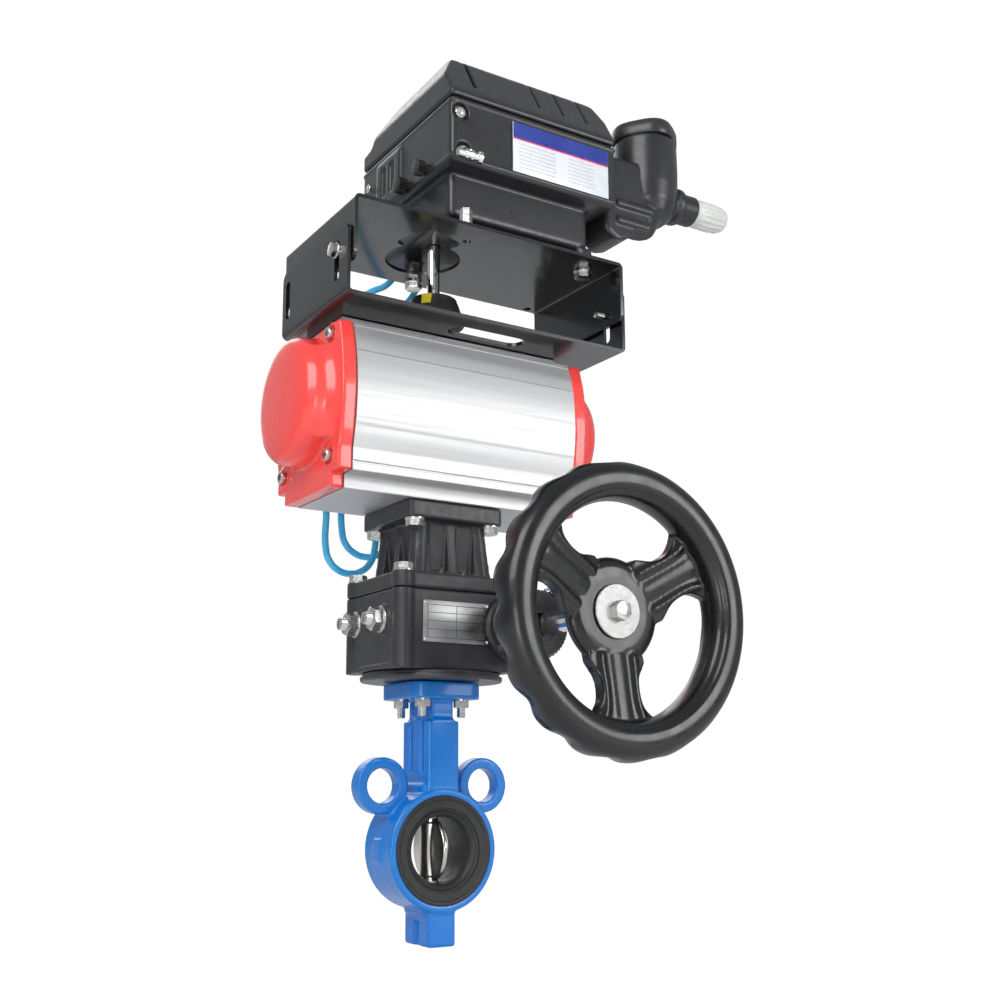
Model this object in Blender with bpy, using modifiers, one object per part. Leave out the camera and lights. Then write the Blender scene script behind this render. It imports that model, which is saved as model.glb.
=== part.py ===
"""Pneumatically actuated wafer butterfly valve with manual override and positioner.

The stack stands on one stem axis: the origin is the centre of the valve bore, +Z runs up
the stem, +Y along the pipe and +X along the actuator's cylinder. Sizes are in millimetres;
the helpers turn them into Blender's metres. Every piece that touches another keeps a gap.
"""

import math

import bmesh
import bpy
from mathutils import Matrix, Vector

MM = 0.001
GAP = 0.3
MERGE = 0.00001
ROUND = 32
SMALL = 14
TURN = 2 * math.pi

# Butterfly valve, DN50 wafer
BODY_RADIUS = 47.0
BODY_HALF = 21.5
FACE_HALF = 23.0
BORE_RADIUS = 25.5
DISC_RADIUS = 25.2
STEM_RADIUS = 6.3
NECK_TOP = 117.0
FLANGE_TOP = 130.3
BOLT_OFFSET = 17.7
POST_BOTTOM = -73.0

# Worm gearbox with a declutching worm
PLATE_BOTTOM = 131.0
CASE_BOTTOM = 138.2
CASE_TOP = 200.5
COVER_TOP = 213.5
YOKE_TOP = 257.7
MOUNT_TOP = 271.6
COLUMN_X = 47.5
COLUMN_Y = 39.3
COLUMN_RADIUS = 9.0
WORM_Z = 173.5
SLEEVE_AXIS_X = 49.5
WORM_X = 53.0
SLEEVE_RADIUS = 20.0
DRIVE_RADIUS = 12.4
WHEEL_MODULE = 2.75
WHEEL_TEETH = 24
STOP_Y = 22.0
STOP_Z = 177.0
BOSS_HALF = 48.4
NECK_RADIUS = 17.0
LEVER_LEAN = 27.0
LEVER_Y = -78.0

# Handwheel
WHEEL_FRONT = -177.0
WHEEL_RADIUS = 108.0
RIM_HALF_WIDTH = 14.5
RIM_HALF_DEPTH = 16.0
RIM_Y = -184.0

# Rack and pinion actuator
ACTUATOR_BOTTOM = 272.0
ACTUATOR_TOP = 412.4
ACTUATOR_HALF = 101.3
CYLINDER_Z = 346.7
CYLINDER_RADIUS = 47.0
CAP_OUTER = 113.7
DOME_RADIUS = 50.0
DOME_END = 140.0
PINION_MODULE = 2.5
PINION_TEETH = 16
RACK_HALF_HEIGHT = 14.0
PISTON_RADIUS = 46.3
PISTON_OUTER = 98.0
PISTON_INNER = 80.0
PINION_TOP = 432.9

# Bracket sheets
SHEET = 3.0
LOWER_LEFT, LOWER_RIGHT = -119.4, 144.2
LOWER_FRONT, LOWER_BACK = -79.7, 43.5
LOWER_BOTTOM, LOWER_TOP = 412.8, 469.5
UPPER_LEFT, UPPER_RIGHT = -115.6, 140.4
UPPER_FRONT, UPPER_BACK = -83.1, 47.5
UPPER_BOTTOM, UPPER_UNDERSIDE = 440.0, 489.1

# Positioner
CASE_LEFT, CASE_RIGHT = -29.0, 138.0
CASE_FRONT, CASE_BACK = -80.0, 81.0
CASE_WAIST, CASE_SEAM = 544.0, 602.0
TERMINAL_X, TERMINAL_Y = 200.0, -45.0
TUBE_RADIUS = 3.0

for old in list(bpy.data.objects):
    bpy.data.objects.remove(old)

PARTS = bpy.data.collections.new("automated_butterfly_valve")
CUTTERS = bpy.data.collections.new("cutters")
bpy.context.scene.collection.children.link(PARTS)
bpy.context.scene.collection.children.link(CUTTERS)


def material(name, colour, roughness, metallic=0.0):
    """A plain Principled material."""
    made = bpy.data.materials.new(name)
    made.use_nodes = True
    shader = made.node_tree.nodes["Principled BSDF"]
    shader.inputs["Base Color"].default_value = (*colour, 1.0)
    shader.inputs["Roughness"].default_value = roughness
    shader.inputs["Metallic"].default_value = metallic
    return made


# Shapes -------------------------------------------------------------------------------


def placed(name, mesh, matrix=None):
    """A new object in the parts collection, its mesh moved by a matrix."""
    if matrix is not None:
        mesh.transform(matrix)
    made = bpy.data.objects.new(name, mesh)
    PARTS.objects.link(made)
    return made


def from_bmesh(name, bm):
    """A mesh object from a bmesh in metres."""
    mesh = bpy.data.meshes.new(name)
    bm.to_mesh(mesh)
    bm.free()
    return placed(name, mesh)


def bevelled(made, width, segments=1, angle=40.0):
    """Rounds an object's sharp edges."""
    bevel = made.modifiers.new("rounded", "BEVEL")
    bevel.width = width * MM
    bevel.segments = segments
    bevel.limit_method = "ANGLE"
    bevel.angle_limit = math.radians(angle)
    return made


def block(name, low, high, bevel=0.0, segments=1):
    """A box between two corners."""
    bm = bmesh.new()
    size = [(b - a) * MM for a, b in zip(low, high)]
    centre = [(a + b) / 2 * MM for a, b in zip(low, high)]
    matrix = Matrix.Translation(centre) @ Matrix.Diagonal((*size, 1.0))
    bmesh.ops.create_cube(bm, size=1.0, matrix=matrix)
    made = from_bmesh(name, bm)
    if bevel:
        bevelled(made, bevel, segments)
    return made


def bar(name, start, end, radius, sides=SMALL, end_radius=None, turn=0.0):
    """A round or many-sided bar between two points, tapered where end_radius is given."""
    begin = Vector(start) * MM
    run = Vector(end) * MM - begin
    bm = bmesh.new()
    aim = run.to_track_quat("Z", "Y").to_matrix().to_4x4()
    matrix = Matrix.Translation(begin + run / 2) @ aim @ Matrix.Rotation(turn, 4, "Z")
    bmesh.ops.create_cone(
        bm,
        cap_ends=True,
        segments=sides,
        radius1=radius * MM,
        radius2=(radius if end_radius is None else end_radius) * MM,
        depth=run.length,
        matrix=matrix,
    )
    return from_bmesh(name, bm)


def turned(name, profile, centre=(0, 0, 0), axis="Z", steps=ROUND, closed=False):
    """A turned piece: (radius, height) points down the outer side, about an axis."""
    mesh = bpy.data.meshes.new(name)
    points = [(radius * MM, 0.0, height * MM) for radius, height in profile]
    edges = [(i, i + 1) for i in range(len(points) - 1)]
    if closed:
        edges.append((len(points) - 1, 0))
    mesh.from_pydata(points, edges, [])
    made = placed(name, mesh)
    screw = made.modifiers.new("turned", "SCREW")
    screw.angle = TURN
    screw.steps = steps
    screw.render_steps = steps
    screw.use_merge_vertices = True
    screw.merge_threshold = MERGE
    screw.use_smooth_shade = False
    aims = {
        "Z": Matrix.Identity(4),
        "X": Matrix.Rotation(math.radians(90), 4, "Y"),
        "-X": Matrix.Rotation(math.radians(-90), 4, "Y"),
        "Y": Matrix.Rotation(math.radians(-90), 4, "X"),
        "-Y": Matrix.Rotation(math.radians(90), 4, "X"),
    }
    return baked(made, Matrix.Translation(Vector(centre) * MM) @ aims[axis])


def baked(made, matrix=None):
    """The object with its modifiers applied, moved by a matrix."""
    depsgraph = bpy.context.evaluated_depsgraph_get()
    mesh = bpy.data.meshes.new_from_object(made.evaluated_get(depsgraph))
    name = made.name
    world = (matrix or Matrix.Identity(4)) @ made.matrix_world
    bpy.data.objects.remove(made)
    bm = bmesh.new()
    bm.from_mesh(mesh)
    bmesh.ops.remove_doubles(bm, verts=bm.verts, dist=MERGE)
    bm.to_mesh(mesh)
    bm.free()
    return placed(name, mesh, world)


def slab(name, outlines, plane, low, high):
    """A flat piece: closed outlines (the first outside, the rest holes) given a thickness."""
    curve = bpy.data.curves.new(name, "CURVE")
    curve.dimensions = "2D"
    curve.fill_mode = "BOTH"
    curve.extrude = (high - low) / 2 * MM
    for outline in outlines:
        spline = curve.splines.new("POLY")
        spline.points.add(len(outline) - 1)
        spline.use_cyclic_u = True
        for point, (across, up) in zip(spline.points, outline):
            point.co = (across * MM, up * MM, 0.0, 1.0)
    made = bpy.data.objects.new(name, curve)
    PARTS.objects.link(made)
    middle = (low + high) / 2
    aims = {
        "XY": (Matrix.Identity(4), (0, 0, middle)),
        "XZ": (Matrix.Rotation(math.radians(90), 4, "X"), (0, middle, 0)),
        "YZ": (
            Matrix.Rotation(math.radians(90), 4, "Z") @ Matrix.Rotation(math.radians(90), 4, "X"),
            (middle, 0, 0),
        ),
    }
    aim, shift = aims[plane]
    bpy.context.view_layer.update()
    return baked(made, Matrix.Translation(Vector(shift) * MM) @ aim)


def tool(made):
    """Puts an object among the cutters, out of the finished model."""
    PARTS.objects.unlink(made)
    CUTTERS.objects.link(made)
    made.hide_render = True
    made.display_type = "WIRE"
    return made


def combine(target, operation, tools):
    """Adds one Boolean modifier for each tool."""
    for other in tools:
        step = target.modifiers.new(operation.lower(), "BOOLEAN")
        step.operation = operation
        step.object = tool(other)
    return target


def join(target, *tools):
    """Unites the target with other shapes."""
    return combine(target, "UNION", tools)


def cut(target, *tools):
    """Takes other shapes out of the target."""
    return combine(target, "DIFFERENCE", tools)


def finish(made, look, smooth=30.0):
    """Applies what is left, shades the piece and gives it its material."""
    piece = baked(made)
    mesh = piece.data
    mesh.shade_smooth()
    mesh.set_sharp_from_angle(angle=math.radians(smooth))
    mesh.materials.clear()
    mesh.materials.append(look)
    return piece


def ride(name, place, *pieces):
    """Hangs pieces on an empty that stands on their joint's axis."""
    pivot = bpy.data.objects.new(name, None)
    pivot.location = Vector(place) * MM
    PARTS.objects.link(pivot)
    for piece in pieces:
        piece.parent = pivot
        piece.matrix_parent_inverse = Matrix.Translation(-pivot.location)


# Outlines -----------------------------------------------------------------------------


def arc(centre, radius, start, end, count):
    """Points along an arc, angles in degrees."""
    steps = [math.radians(start + (end - start) * i / (count - 1)) for i in range(count)]
    return [(centre[0] + radius * math.cos(a), centre[1] + radius * math.sin(a)) for a in steps]


def circle(centre, radius, count):
    """Points round a circle."""
    return arc(centre, radius, 0.0, 360.0 - 360.0 / count, count)


def rounded(low, high, radius, count=4):
    """A rectangle's outline with round corners."""
    corners = (
        (high[0] - radius, high[1] - radius, 0),
        (low[0] + radius, high[1] - radius, 90),
        (low[0] + radius, low[1] + radius, 180),
        (high[0] - radius, low[1] + radius, 270),
    )
    points = []
    for x, y, start in corners:
        points += arc((x, y), radius, start, start + 90, count)
    return points


def involute(angle):
    return math.tan(angle) - angle


def tooth_flank(module, teeth, radii, slack):
    """(radius, half angle) points up one involute flank."""
    pitch = module * teeth / 2
    base = pitch * math.cos(math.radians(20))
    half = (math.pi * module / 2 - slack) / 2 / pitch + involute(math.radians(20))
    return [(r, half - involute(math.acos(min(1.0, base / r)))) for r in radii]


def gear_outline(module, teeth, radii, slack, first, count):
    """The toothed edge from tooth `first` on, counter-clockwise, tooth 0 centred on +X."""
    flank = tooth_flank(module, teeth, radii, slack)
    points = []
    for tooth in range(first, first + count):
        middle = TURN * tooth / teeth
        sides = [(r, middle - a) for r, a in flank] + [(r, middle + a) for r, a in reversed(flank)]
        points += [(r * math.cos(a), r * math.sin(a)) for r, a in sides]
    return points


# Butterfly valve ----------------------------------------------------------------------


def valve_body(paint):
    ring = slab("valve_body", [circle((0, 0), BODY_RADIUS, 48)], "XZ", -BODY_HALF, BODY_HALF)
    neck = block("neck", (-14, -BODY_HALF, 38), (14, BODY_HALF, 102), 2.0)
    collar = block("collar", (-12, -19, 100), (12, 19, NECK_TOP + 1), 2.0)
    flange = slab("flange", [rounded((-31, -31), (31, 31), 10)], "XY", NECK_TOP, FLANGE_TOP)
    post = block("post", (-12, -20, POST_BOTTOM), (12, 20, -38), 2.0)
    join(ring, neck, collar, flange, post)
    for side in (-1, 1):
        ear = slab("ear", [circle((side * 45.5, 49.5), 22.0, 28)], "XZ", -6.5, 6.5)
        join(ring, ear)
        web = block("web", (side * 31 - 7, -6.5, 20), (side * 31 + 7, 6.5, 42))
        join(ring, web)
    for side in (-1, 1):
        cut(ring, bar("ear_hole", (side * 45.5, -9, 49.5), (side * 45.5, 9, 49.5), 13.7, 24))
    cut(ring, bar("clear_bore", (0, -23, 0), (0, 23, 0), 33.1, ROUND))
    cut(ring, bar("stem_hole", (0, 0, -46), (0, 0, 132), STEM_RADIUS + 0.4, 20))
    cut(ring, bar("bush_seat", (0, 0, 98), (0, 0, 132), 9.6, 20))
    cut(ring, block("channel", (-20, -5, 52), (-11.5, 5, 100)))
    for x in (-1, 1):
        for y in (-1, 1):
            at = (x * BOLT_OFFSET, y * BOLT_OFFSET)
            cut(ring, bar("bolt_hole", (*at, 114), (*at, 133), 4.5, 10))
            cut(ring, bar("nut_space", (*at, 100), (*at, NECK_TOP - 0.2), 8.2, 12))
    return finish(ring, paint)


def valve_liner(rubber):
    half = [(BORE_RADIUS, 17.0), (28.0, 20.5), (33.0, 21.0), (38.0, FACE_HALF)]
    half += [(42.0, FACE_HALF), (42.0, BODY_HALF + GAP), (32.7, BODY_HALF + GAP)]
    mirrored = [(r, -y) for r, y in reversed(half)]
    made = turned("valve_liner", list(half) + mirrored, axis="Y", steps=28, closed=True)
    cut(made, bar("liner_stem_hole", (0, 0, -36), (0, 0, 36), STEM_RADIUS + 0.4, 20))
    return finish(made, rubber)


def valve_disc(steel):
    profile = [(0, 4.0), (10, 3.8), (20, 2.6), (24.6, 1.8), (DISC_RADIUS, 1.2)]
    lower = [(r, -x) for r, x in reversed(profile)]
    made = turned("valve_disc", profile + lower, axis="X")
    join(made, bar("boss", (0, 0, -21.5), (0, 0, 21.5), 8.6, 24))
    cut(made, bar("disc_stem_hole", (0, 0, -30), (0, 0, 30), STEM_RADIUS + 0.3, 20))
    return finish(made, steel)


def valve_stem(steel):
    made = bar("valve_stem", (0, 0, -42), (0, 0, 133), STEM_RADIUS, 20)
    join(made, block("square", (-4.4, -4.4, 130), (4.4, 4.4, 158), 0.4))
    return finish(made, steel)


def stem_bush(brass):
    profile = [(6.7, 129.0), (9.2, 129.0), (9.2, 98.4), (6.7, 98.4)]
    return finish(turned("stem_bush", profile, steps=20, closed=True), brass)


def valve_bolt(name, x, y, steel):
    made = bar(name, (x, y, 102.5), (x, y, 136.5), 4.0, 12)
    join(made, bar("nut", (x, y, 110.2), (x, y, 116.6), 7.5, 6, turn=math.radians(30)))
    return finish(made, steel)


# Worm gearbox -------------------------------------------------------------------------


def gearbox_base_plate(paint):
    made = slab(
        "gearbox_base_plate", [circle((0, 0), 57.0, 48)], "XY", PLATE_BOTTOM, CASE_BOTTOM - GAP
    )
    cut(made, bar("sleeve_hole", (0, 0, 130), (0, 0, 139), DRIVE_RADIUS + 0.4, 24))
    for x in (-1, 1):
        for y in (-1, 1):
            at = (x * BOLT_OFFSET, y * BOLT_OFFSET)
            cut(made, bar("stud_hole", (*at, 130), (*at, 139), 4.3, 12))
    return finish(made, paint)


def case_outline(name, low, high):
    """The gearbox outline: a square with a round column at each corner."""
    made = block(name, (-COLUMN_X - 6.5, -COLUMN_Y - 6.5, low), (COLUMN_X + 6.5, COLUMN_Y + 6.5, high))
    for x in (-COLUMN_X, COLUMN_X):
        for y in (-COLUMN_Y, COLUMN_Y):
            join(made, bar("column", (x, y, low), (x, y, high), COLUMN_RADIUS, 20))
    return made


def gearbox_housing(paint):
    made = case_outline("gearbox_housing", CASE_BOTTOM, CASE_TOP)
    join(made, block("worm_chamber", (46, -38, 150), (75, 38, 196), 9.0, 2))
    x, z = SLEEVE_AXIS_X, WORM_Z
    join(made, bar("bush_boss", (x, -BOSS_HALF, z), (x, BOSS_HALF, z), 22.6, 28))
    cut(made, bar("wheel_chamber", (0, 0, 155), (0, 0, 202), 38.3, ROUND))
    cut(made, bar("tunnel", (x, -50, z), (x, 50, z), SLEEVE_RADIUS + GAP, 28))
    cut(made, bar("lower_bearing", (0, 0, 137), (0, 0, 157), DRIVE_RADIUS + 0.4, 24))
    for side in (-1, 1):
        at = (side * STOP_Y, STOP_Z)
        cut(made, bar("stop_hole", (-60, *at), (-22, *at), 5.4, 12))
    return finish(made, paint)


def gearbox_cover(paint):
    made = case_outline("gearbox_cover", CASE_TOP + GAP, COVER_TOP)
    yoke = bmesh.new()
    bmesh.ops.create_cone(
        yoke,
        cap_ends=True,
        segments=4,
        radius1=36.5 * math.sqrt(2) * MM,
        radius2=31.0 * math.sqrt(2) * MM,
        depth=(YOKE_TOP - COVER_TOP + 2) * MM,
        matrix=Matrix.Translation((0, 0, (YOKE_TOP + COVER_TOP) / 2 * MM))
        @ Matrix.Rotation(math.radians(45), 4, "Z"),
    )
    join(made, bevelled(from_bmesh("yoke", yoke), 5.0, 2))
    top = slab("top", [rounded((-43.5, -41.5), (43.5, 41.5), 4)], "XY", YOKE_TOP, MOUNT_TOP)
    join(made, top)
    for x in (-27, 27):
        for y in (-27, 27):
            join(made, bar("rib", (x, y, COVER_TOP - 1), (x, y, YOKE_TOP + 1), 8.0, 16))
    cut(made, bar("yoke_bore", (0, 0, COVER_TOP - 4), (0, 0, MOUNT_TOP + 1), 22.0, 32))
    cut(made, bar("upper_bearing", (0, 0, 199), (0, 0, COVER_TOP), DRIVE_RADIUS + 0.4, 24))
    return finish(made, paint)


def worm_segment(bronze):
    pitch = WHEEL_MODULE * WHEEL_TEETH / 2
    radii = (pitch - 3.3, pitch, pitch + 2.7)
    edge = -8.0
    first, count = 0, 6
    toothed = gear_outline(WHEEL_MODULE, WHEEL_TEETH, radii, 0.6, first, count)
    half_pitch = TURN / WHEEL_TEETH / 2
    toothed = [
        (
            x * math.cos(half_pitch) - y * math.sin(half_pitch),
            x * math.sin(half_pitch) + y * math.cos(half_pitch),
        )
        for x, y in toothed
    ]
    hub = arc((0, 0), 16.6, 115.0, 335.0, 20)
    outline = [(30.0, edge)] + toothed + [(edge, 30.0)] + hub
    made = slab("worm_segment", [outline], "XY", 161.0, 186.0)
    cut(made, bar("sleeve_seat", (0, 0, 160), (0, 0, 187), DRIVE_RADIUS + GAP, 24))
    cut(made, block("keyway", (-2.3, -15.0, 160), (2.3, -9.0, 187)))
    return finish(made, bronze)


def drive_sleeve(steel):
    made = bar("drive_sleeve", (0, 0, 133.5), (0, 0, 262), DRIVE_RADIUS, 24)
    join(made, block("key", (-2.0, -14.6, 162), (2.0, -9.0, 185)))
    join(made, block("upper_square", (-8.4, -8.4, 260), (8.4, 8.4, 294), 0.8))
    cut(made, block("stem_socket", (-4.8, -4.8, 130), (4.8, 4.8, 160)))
    cut(made, bar("stem_clearance", (0, 0, 132), (0, 0, 134), 7.0, 20))
    return finish(made, steel)


def worm_shaft(steel):
    pitch = math.pi * WHEEL_MODULE
    rings = 5
    tip, root = 15.75, 9.8
    profile = [(0, 46.5), (7.5, 46.5), (7.5, 27.0), (root, 27.0)]
    for ring in range(rings):
        middle = ((rings - 1) / 2 - ring) * pitch
        profile += [(root, middle + 2.7), (tip, middle + 0.8), (tip, middle - 0.8), (root, middle - 2.7)]
    profile += [(root, -27.0), (8.5, -27.0), (8.5, WHEEL_FRONT + 2.4), (0, WHEEL_FRONT + 2.4)]
    made = turned("worm_shaft", profile, (WORM_X, 0, WORM_Z), "Y", 16)
    return finish(made, steel)


def eccentric_sleeve(steel):
    """The front bush that carries the worm off centre, with its flange and neck."""
    centre = (SLEEVE_AXIS_X, 0, WORM_Z)
    profile = [(0, -30.0), (SLEEVE_RADIUS, -30.0), (SLEEVE_RADIUS, -48.8), (28.0, -48.8)]
    profile += [(28.0, -55.0), (NECK_RADIUS, -56.0), (NECK_RADIUS, -71.0), (27.0, -72.0)]
    profile += [(27.0, -84.0), (25.0, -87.0), (0, -87.0)]
    made = turned("eccentric_sleeve", profile, centre, "Y", 28)
    cut(made, bar("worm_bore", (WORM_X, -28, WORM_Z), (WORM_X, -89, WORM_Z), 8.9, 18))
    cut(made, bar("latch_hole", latch_point(-40), latch_point(-58), 3.3, 12))
    cut(made, bar("lever_hole", *lever_points(8.0, 30.0), 3.1, 12))
    return finish(made, steel)


def rear_eccentric_bush(steel):
    centre = (SLEEVE_AXIS_X, 0, WORM_Z)
    profile = [(0, 51.5), (24.0, 51.5), (24.0, 48.8), (SLEEVE_RADIUS, 48.8)]
    profile += [(SLEEVE_RADIUS, 30.0), (0, 30.0)]
    made = turned("rear_eccentric_bush", profile, centre, "Y", 28)
    cut(made, bar("journal_seat", (WORM_X, 28, WORM_Z), (WORM_X, 48, WORM_Z), 7.9, 18))
    return finish(made, steel)


def lever_points(start, end):
    """Two points along the lever's centre line, at these distances from the clutch axis."""
    lean = math.radians(LEVER_LEAN)
    return [
        (SLEEVE_AXIS_X + r * math.sin(lean), LEVER_Y, WORM_Z + r * math.cos(lean))
        for r in (start, end)
    ]


def clutch_lever(chrome):
    """A rod set radially in the eccentric sleeve's front collar, with a rounded grip."""
    made = bar("clutch_lever", *lever_points(NECK_RADIUS - 3.5, 44.0), 2.8, 12)
    join(made, bar("grip", *lever_points(40.0, 58.0), 5.5, 14, 7.0))
    return finish(made, chrome)


def latch_point(y):
    """A point on the latch pin's line, in the sleeve's wall flange."""
    reach = 23.8 * math.sqrt(0.5)
    return (SLEEVE_AXIS_X - reach, y, WORM_Z - reach)


def latch_pin(chrome):
    """The sprung pin that clicks the clutch into either position."""
    made = bar("latch_pin", latch_point(-48.8), latch_point(-61), 3.0, 12)
    join(made, bar("latch_knob", latch_point(-59), latch_point(-66), 5.0, 12))
    return finish(made, chrome)


def stop_bolt(name, y, steel):
    made = bar(name, (-73, y, STOP_Z), (-8.4, y, STOP_Z), 5.0, 12)
    return finish(made, steel)


def stop_nut(name, y, steel):
    made = bar(name, (-66, y, STOP_Z), (-57.4, y, STOP_Z), 9.8, 6)
    cut(made, bar("nut_hole", (-68, y, STOP_Z), (-55, y, STOP_Z), 5.3, 12))
    return finish(made, steel)


def gearbox_nameplate(silver):
    front = -(COLUMN_Y + 6.5) - GAP
    return finish(block("gearbox_nameplate", (-34, front - 1.2, 159), (26.4, front, 191.5), 0.3), silver)


# Handwheel ----------------------------------------------------------------------------


def rim_profile():
    """The rim's cross-section round its middle, flatter behind than in front."""
    points = []
    middle = WHEEL_RADIUS - RIM_HALF_WIDTH
    for i in range(8):
        angle = TURN * (i + 0.5) / 8
        across = RIM_HALF_WIDTH * math.cos(angle)
        deep = RIM_HALF_DEPTH * math.sin(angle)
        points.append((middle + across, deep))
    return points


def handwheel(lacquer):
    outline = [(r, h + RIM_Y) for r, h in reversed(rim_profile())]
    made = turned("handwheel", outline, (WORM_X, 0, WORM_Z), "Y", 36, closed=True)
    hub = [(0, -141.0), (17.0, -141.0), (22.0, -160.0), (36.0, -166.0)]
    hub += [(37.0, -174.0), (23.0, WHEEL_FRONT + 1.5), (0, WHEEL_FRONT + 1.5)]
    join(made, turned("hub", hub, (WORM_X, 0, WORM_Z), "Y", 30))
    for degrees in (-90, 30, 150):
        a = math.radians(degrees)
        spoke = block("spoke", (24, -186.0, -13), (84, -168.0, 13), 5.0)
        aim = Matrix.Rotation(-a, 4, "Y")
        spoke = baked(spoke, Matrix.Translation((WORM_X * MM, 0, WORM_Z * MM)) @ aim)
        join(made, spoke)
    cut(made, bar("hub_bore", (WORM_X, -139, WORM_Z), (WORM_X, -180, WORM_Z), 8.9, 20))
    return finish(made, lacquer, 50.0)


def hub_washer(chrome):
    back, front = WHEEL_FRONT + 1.2, WHEEL_FRONT - 0.8
    made = turned(
        "hub_washer",
        [(7.0, back), (20.0, back), (20.0, front), (7.0, front)],
        (WORM_X, 0, WORM_Z),
        "Y",
        32,
        closed=True,
    )
    return finish(made, chrome)


def hub_bolt(chrome):
    made = bar("hub_bolt", (WORM_X, WHEEL_FRONT - 1.1, WORM_Z), (WORM_X, WHEEL_FRONT - 7.5, WORM_Z), 8.6, 6)
    shank = bar("shank", (WORM_X, WHEEL_FRONT - 4, WORM_Z), (WORM_X, WHEEL_FRONT + 2.0, WORM_Z), 5.0, 16)
    return finish(join(made, shank), chrome)


# Actuator -----------------------------------------------------------------------------


def half_section(pad):
    """The cylinder block's outline on the +Y side, bottom to top."""
    points = [(43.1, ACTUATOR_BOTTOM), (43.1, 283.0), (57.8, 283.3), (57.8, 300.0)]
    points += [(61.5, 318.0), (63.6, 333.0), (64.2, 346.7), (63.4, 362.0), (61.0, 378.0), (55.4, 401.7)]
    if pad:
        points += [(36.0, 401.7), (34.4, 403.5), (34.4, ACTUATOR_TOP)]
    return points


def section(pad):
    right = half_section(pad)
    return right + [(-y, z) for y, z in reversed(right)]


def actuator_body(aluminium):
    bore = circle((0, CYLINDER_Z), CYLINDER_RADIUS, 48)
    made = slab("actuator_body", [section(True), bore], "YZ", -ACTUATOR_HALF, ACTUATOR_HALF)
    cut(made, bar("top_hole", (0, 0, 385), (0, 0, 415), 17.5, 28))
    cut(made, bar("bottom_hole", (0, 0, 270), (0, 0, 310), 20.0, 28))
    return finish(made, aluminium, 20.0)


def end_cap(name, side, coral):
    inner, outer = ACTUATOR_HALF + GAP, CAP_OUTER
    ends = sorted((side * inner, side * outer))
    made = bevelled(slab(name, [section(False)], "YZ", *ends), 1.2)
    profile = [(0, DOME_END), (25.0, 139.2), (38.0, 137.2), (46.0, 133.5), (DOME_RADIUS, 127.0)]
    profile += [(DOME_RADIUS, outer - 2), (0, outer - 2)]
    aim = "X" if side > 0 else "-X"
    join(made, turned("dome", profile, (0, 0, CYLINDER_Z), aim))
    start, end = (side * (inner - 1), 0, CYLINDER_Z), (side * 128.0, 0, CYLINDER_Z)
    cut(made, bar("spring_pocket", start, end, 44.0, 36))
    return finish(made, coral)


def rack_outline():
    """The right piston's rack arm, on the -Y side, its teeth towards +Y, a gap at X = 0."""
    pitch = math.pi * PINION_MODULE
    line = PINION_MODULE * PINION_TEETH / 2
    slope = math.tan(math.radians(20))
    tip, root = line - 2.0, line + 2.9
    half = pitch / 4 - 0.2
    points = []
    for tooth in range(-5, 1):
        middle = (tooth + 0.5) * pitch
        foot, crest = half + (root - line) * slope, half - (line - tip) * slope
        points += [(middle - foot, root), (middle - crest, tip)]
        points += [(middle + crest, tip), (middle + foot, root)]
    end = 0.5 * pitch + half + 2.0
    points += [(end, root), (end, 33.5), (-PISTON_INNER - 4, 33.5), (-PISTON_INNER - 4, root)]
    return [(-x, -y) for x, y in points]


def piston(name, side, aluminium):
    """A piston with its rack arm; the left one is the right one turned half round the stem."""
    profile = [(0, PISTON_OUTER), (PISTON_RADIUS, PISTON_OUTER), (PISTON_RADIUS, 92.0), (43.3, 92.0)]
    profile += [(43.3, 87.2), (PISTON_RADIUS, 87.2), (PISTON_RADIUS, PISTON_INNER), (0, PISTON_INNER)]
    made = turned(name, profile, (0, 0, CYLINDER_Z), "X", 36)
    low, high = CYLINDER_Z - RACK_HALF_HEIGHT, CYLINDER_Z + RACK_HALF_HEIGHT
    join(made, slab("rack", [rack_outline()], "XY", low, high))
    if side < 0:
        made = baked(made, Matrix.Rotation(math.pi, 4, "Z"))
    return finish(made, aluminium)


def piston_seal(name, side, rubber):
    profile = [(43.7, 91.5), (46.6, 91.5), (46.6, 87.7), (43.7, 87.7)]
    aim = "X" if side > 0 else "-X"
    return finish(turned(name, profile, (0, 0, CYLINDER_Z), aim, 36, closed=True), rubber)


def pinion(steel):
    pitch = PINION_MODULE * PINION_TEETH / 2
    radii = (pitch - 2.5, pitch - 1.2, pitch, pitch + 2.1)
    teeth = gear_outline(PINION_MODULE, PINION_TEETH, radii, 0.4, 0, PINION_TEETH)
    made = slab("pinion", [teeth], "XY", CYLINDER_Z - 15, CYLINDER_Z + 15)
    join(made, bar("lower_journal", (0, 0, 273.5), (0, 0, 340), 16.4, 28))
    join(made, bar("upper_journal", (0, 0, 350), (0, 0, PINION_TOP), 13.9, 28))
    cut(made, block("drive_socket", (-8.8, -8.8, 272), (8.8, 8.8, 297)))
    cut(made, bar("shaft_seat", (0, 0, 424), (0, 0, 434), 6.0, 20))
    cut(made, block("tongue_slot", (-15, -2.1, 429), (15, 2.1, 434)))
    return finish(made, steel)


def pinion_bush(name, inner, outer, low, high, plastic):
    profile = [(inner, high), (outer, high), (outer, low), (inner, low)]
    return finish(turned(name, profile, steps=28, closed=True), plastic)


def position_indicator(black):
    made = bar("position_indicator", (0, 0, 433.9), (0, 0, 456), 26.0, 36, 20.0)
    cut(made, bar("indicator_bore", (0, 0, 432), (0, 0, 458), 6.3, 20))
    cut(made, marker_wedge("marker_seat", 6.3, 444.7))
    return finish(made, black)


def marker_wedge(name, half, low):
    """A radial block that leans out over the indicator's front left side."""
    made = block(name, (14.0, -half, low), (30.0, half, 460.0))
    return baked(made, Matrix.Rotation(math.radians(232), 4, "Z"))


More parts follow.
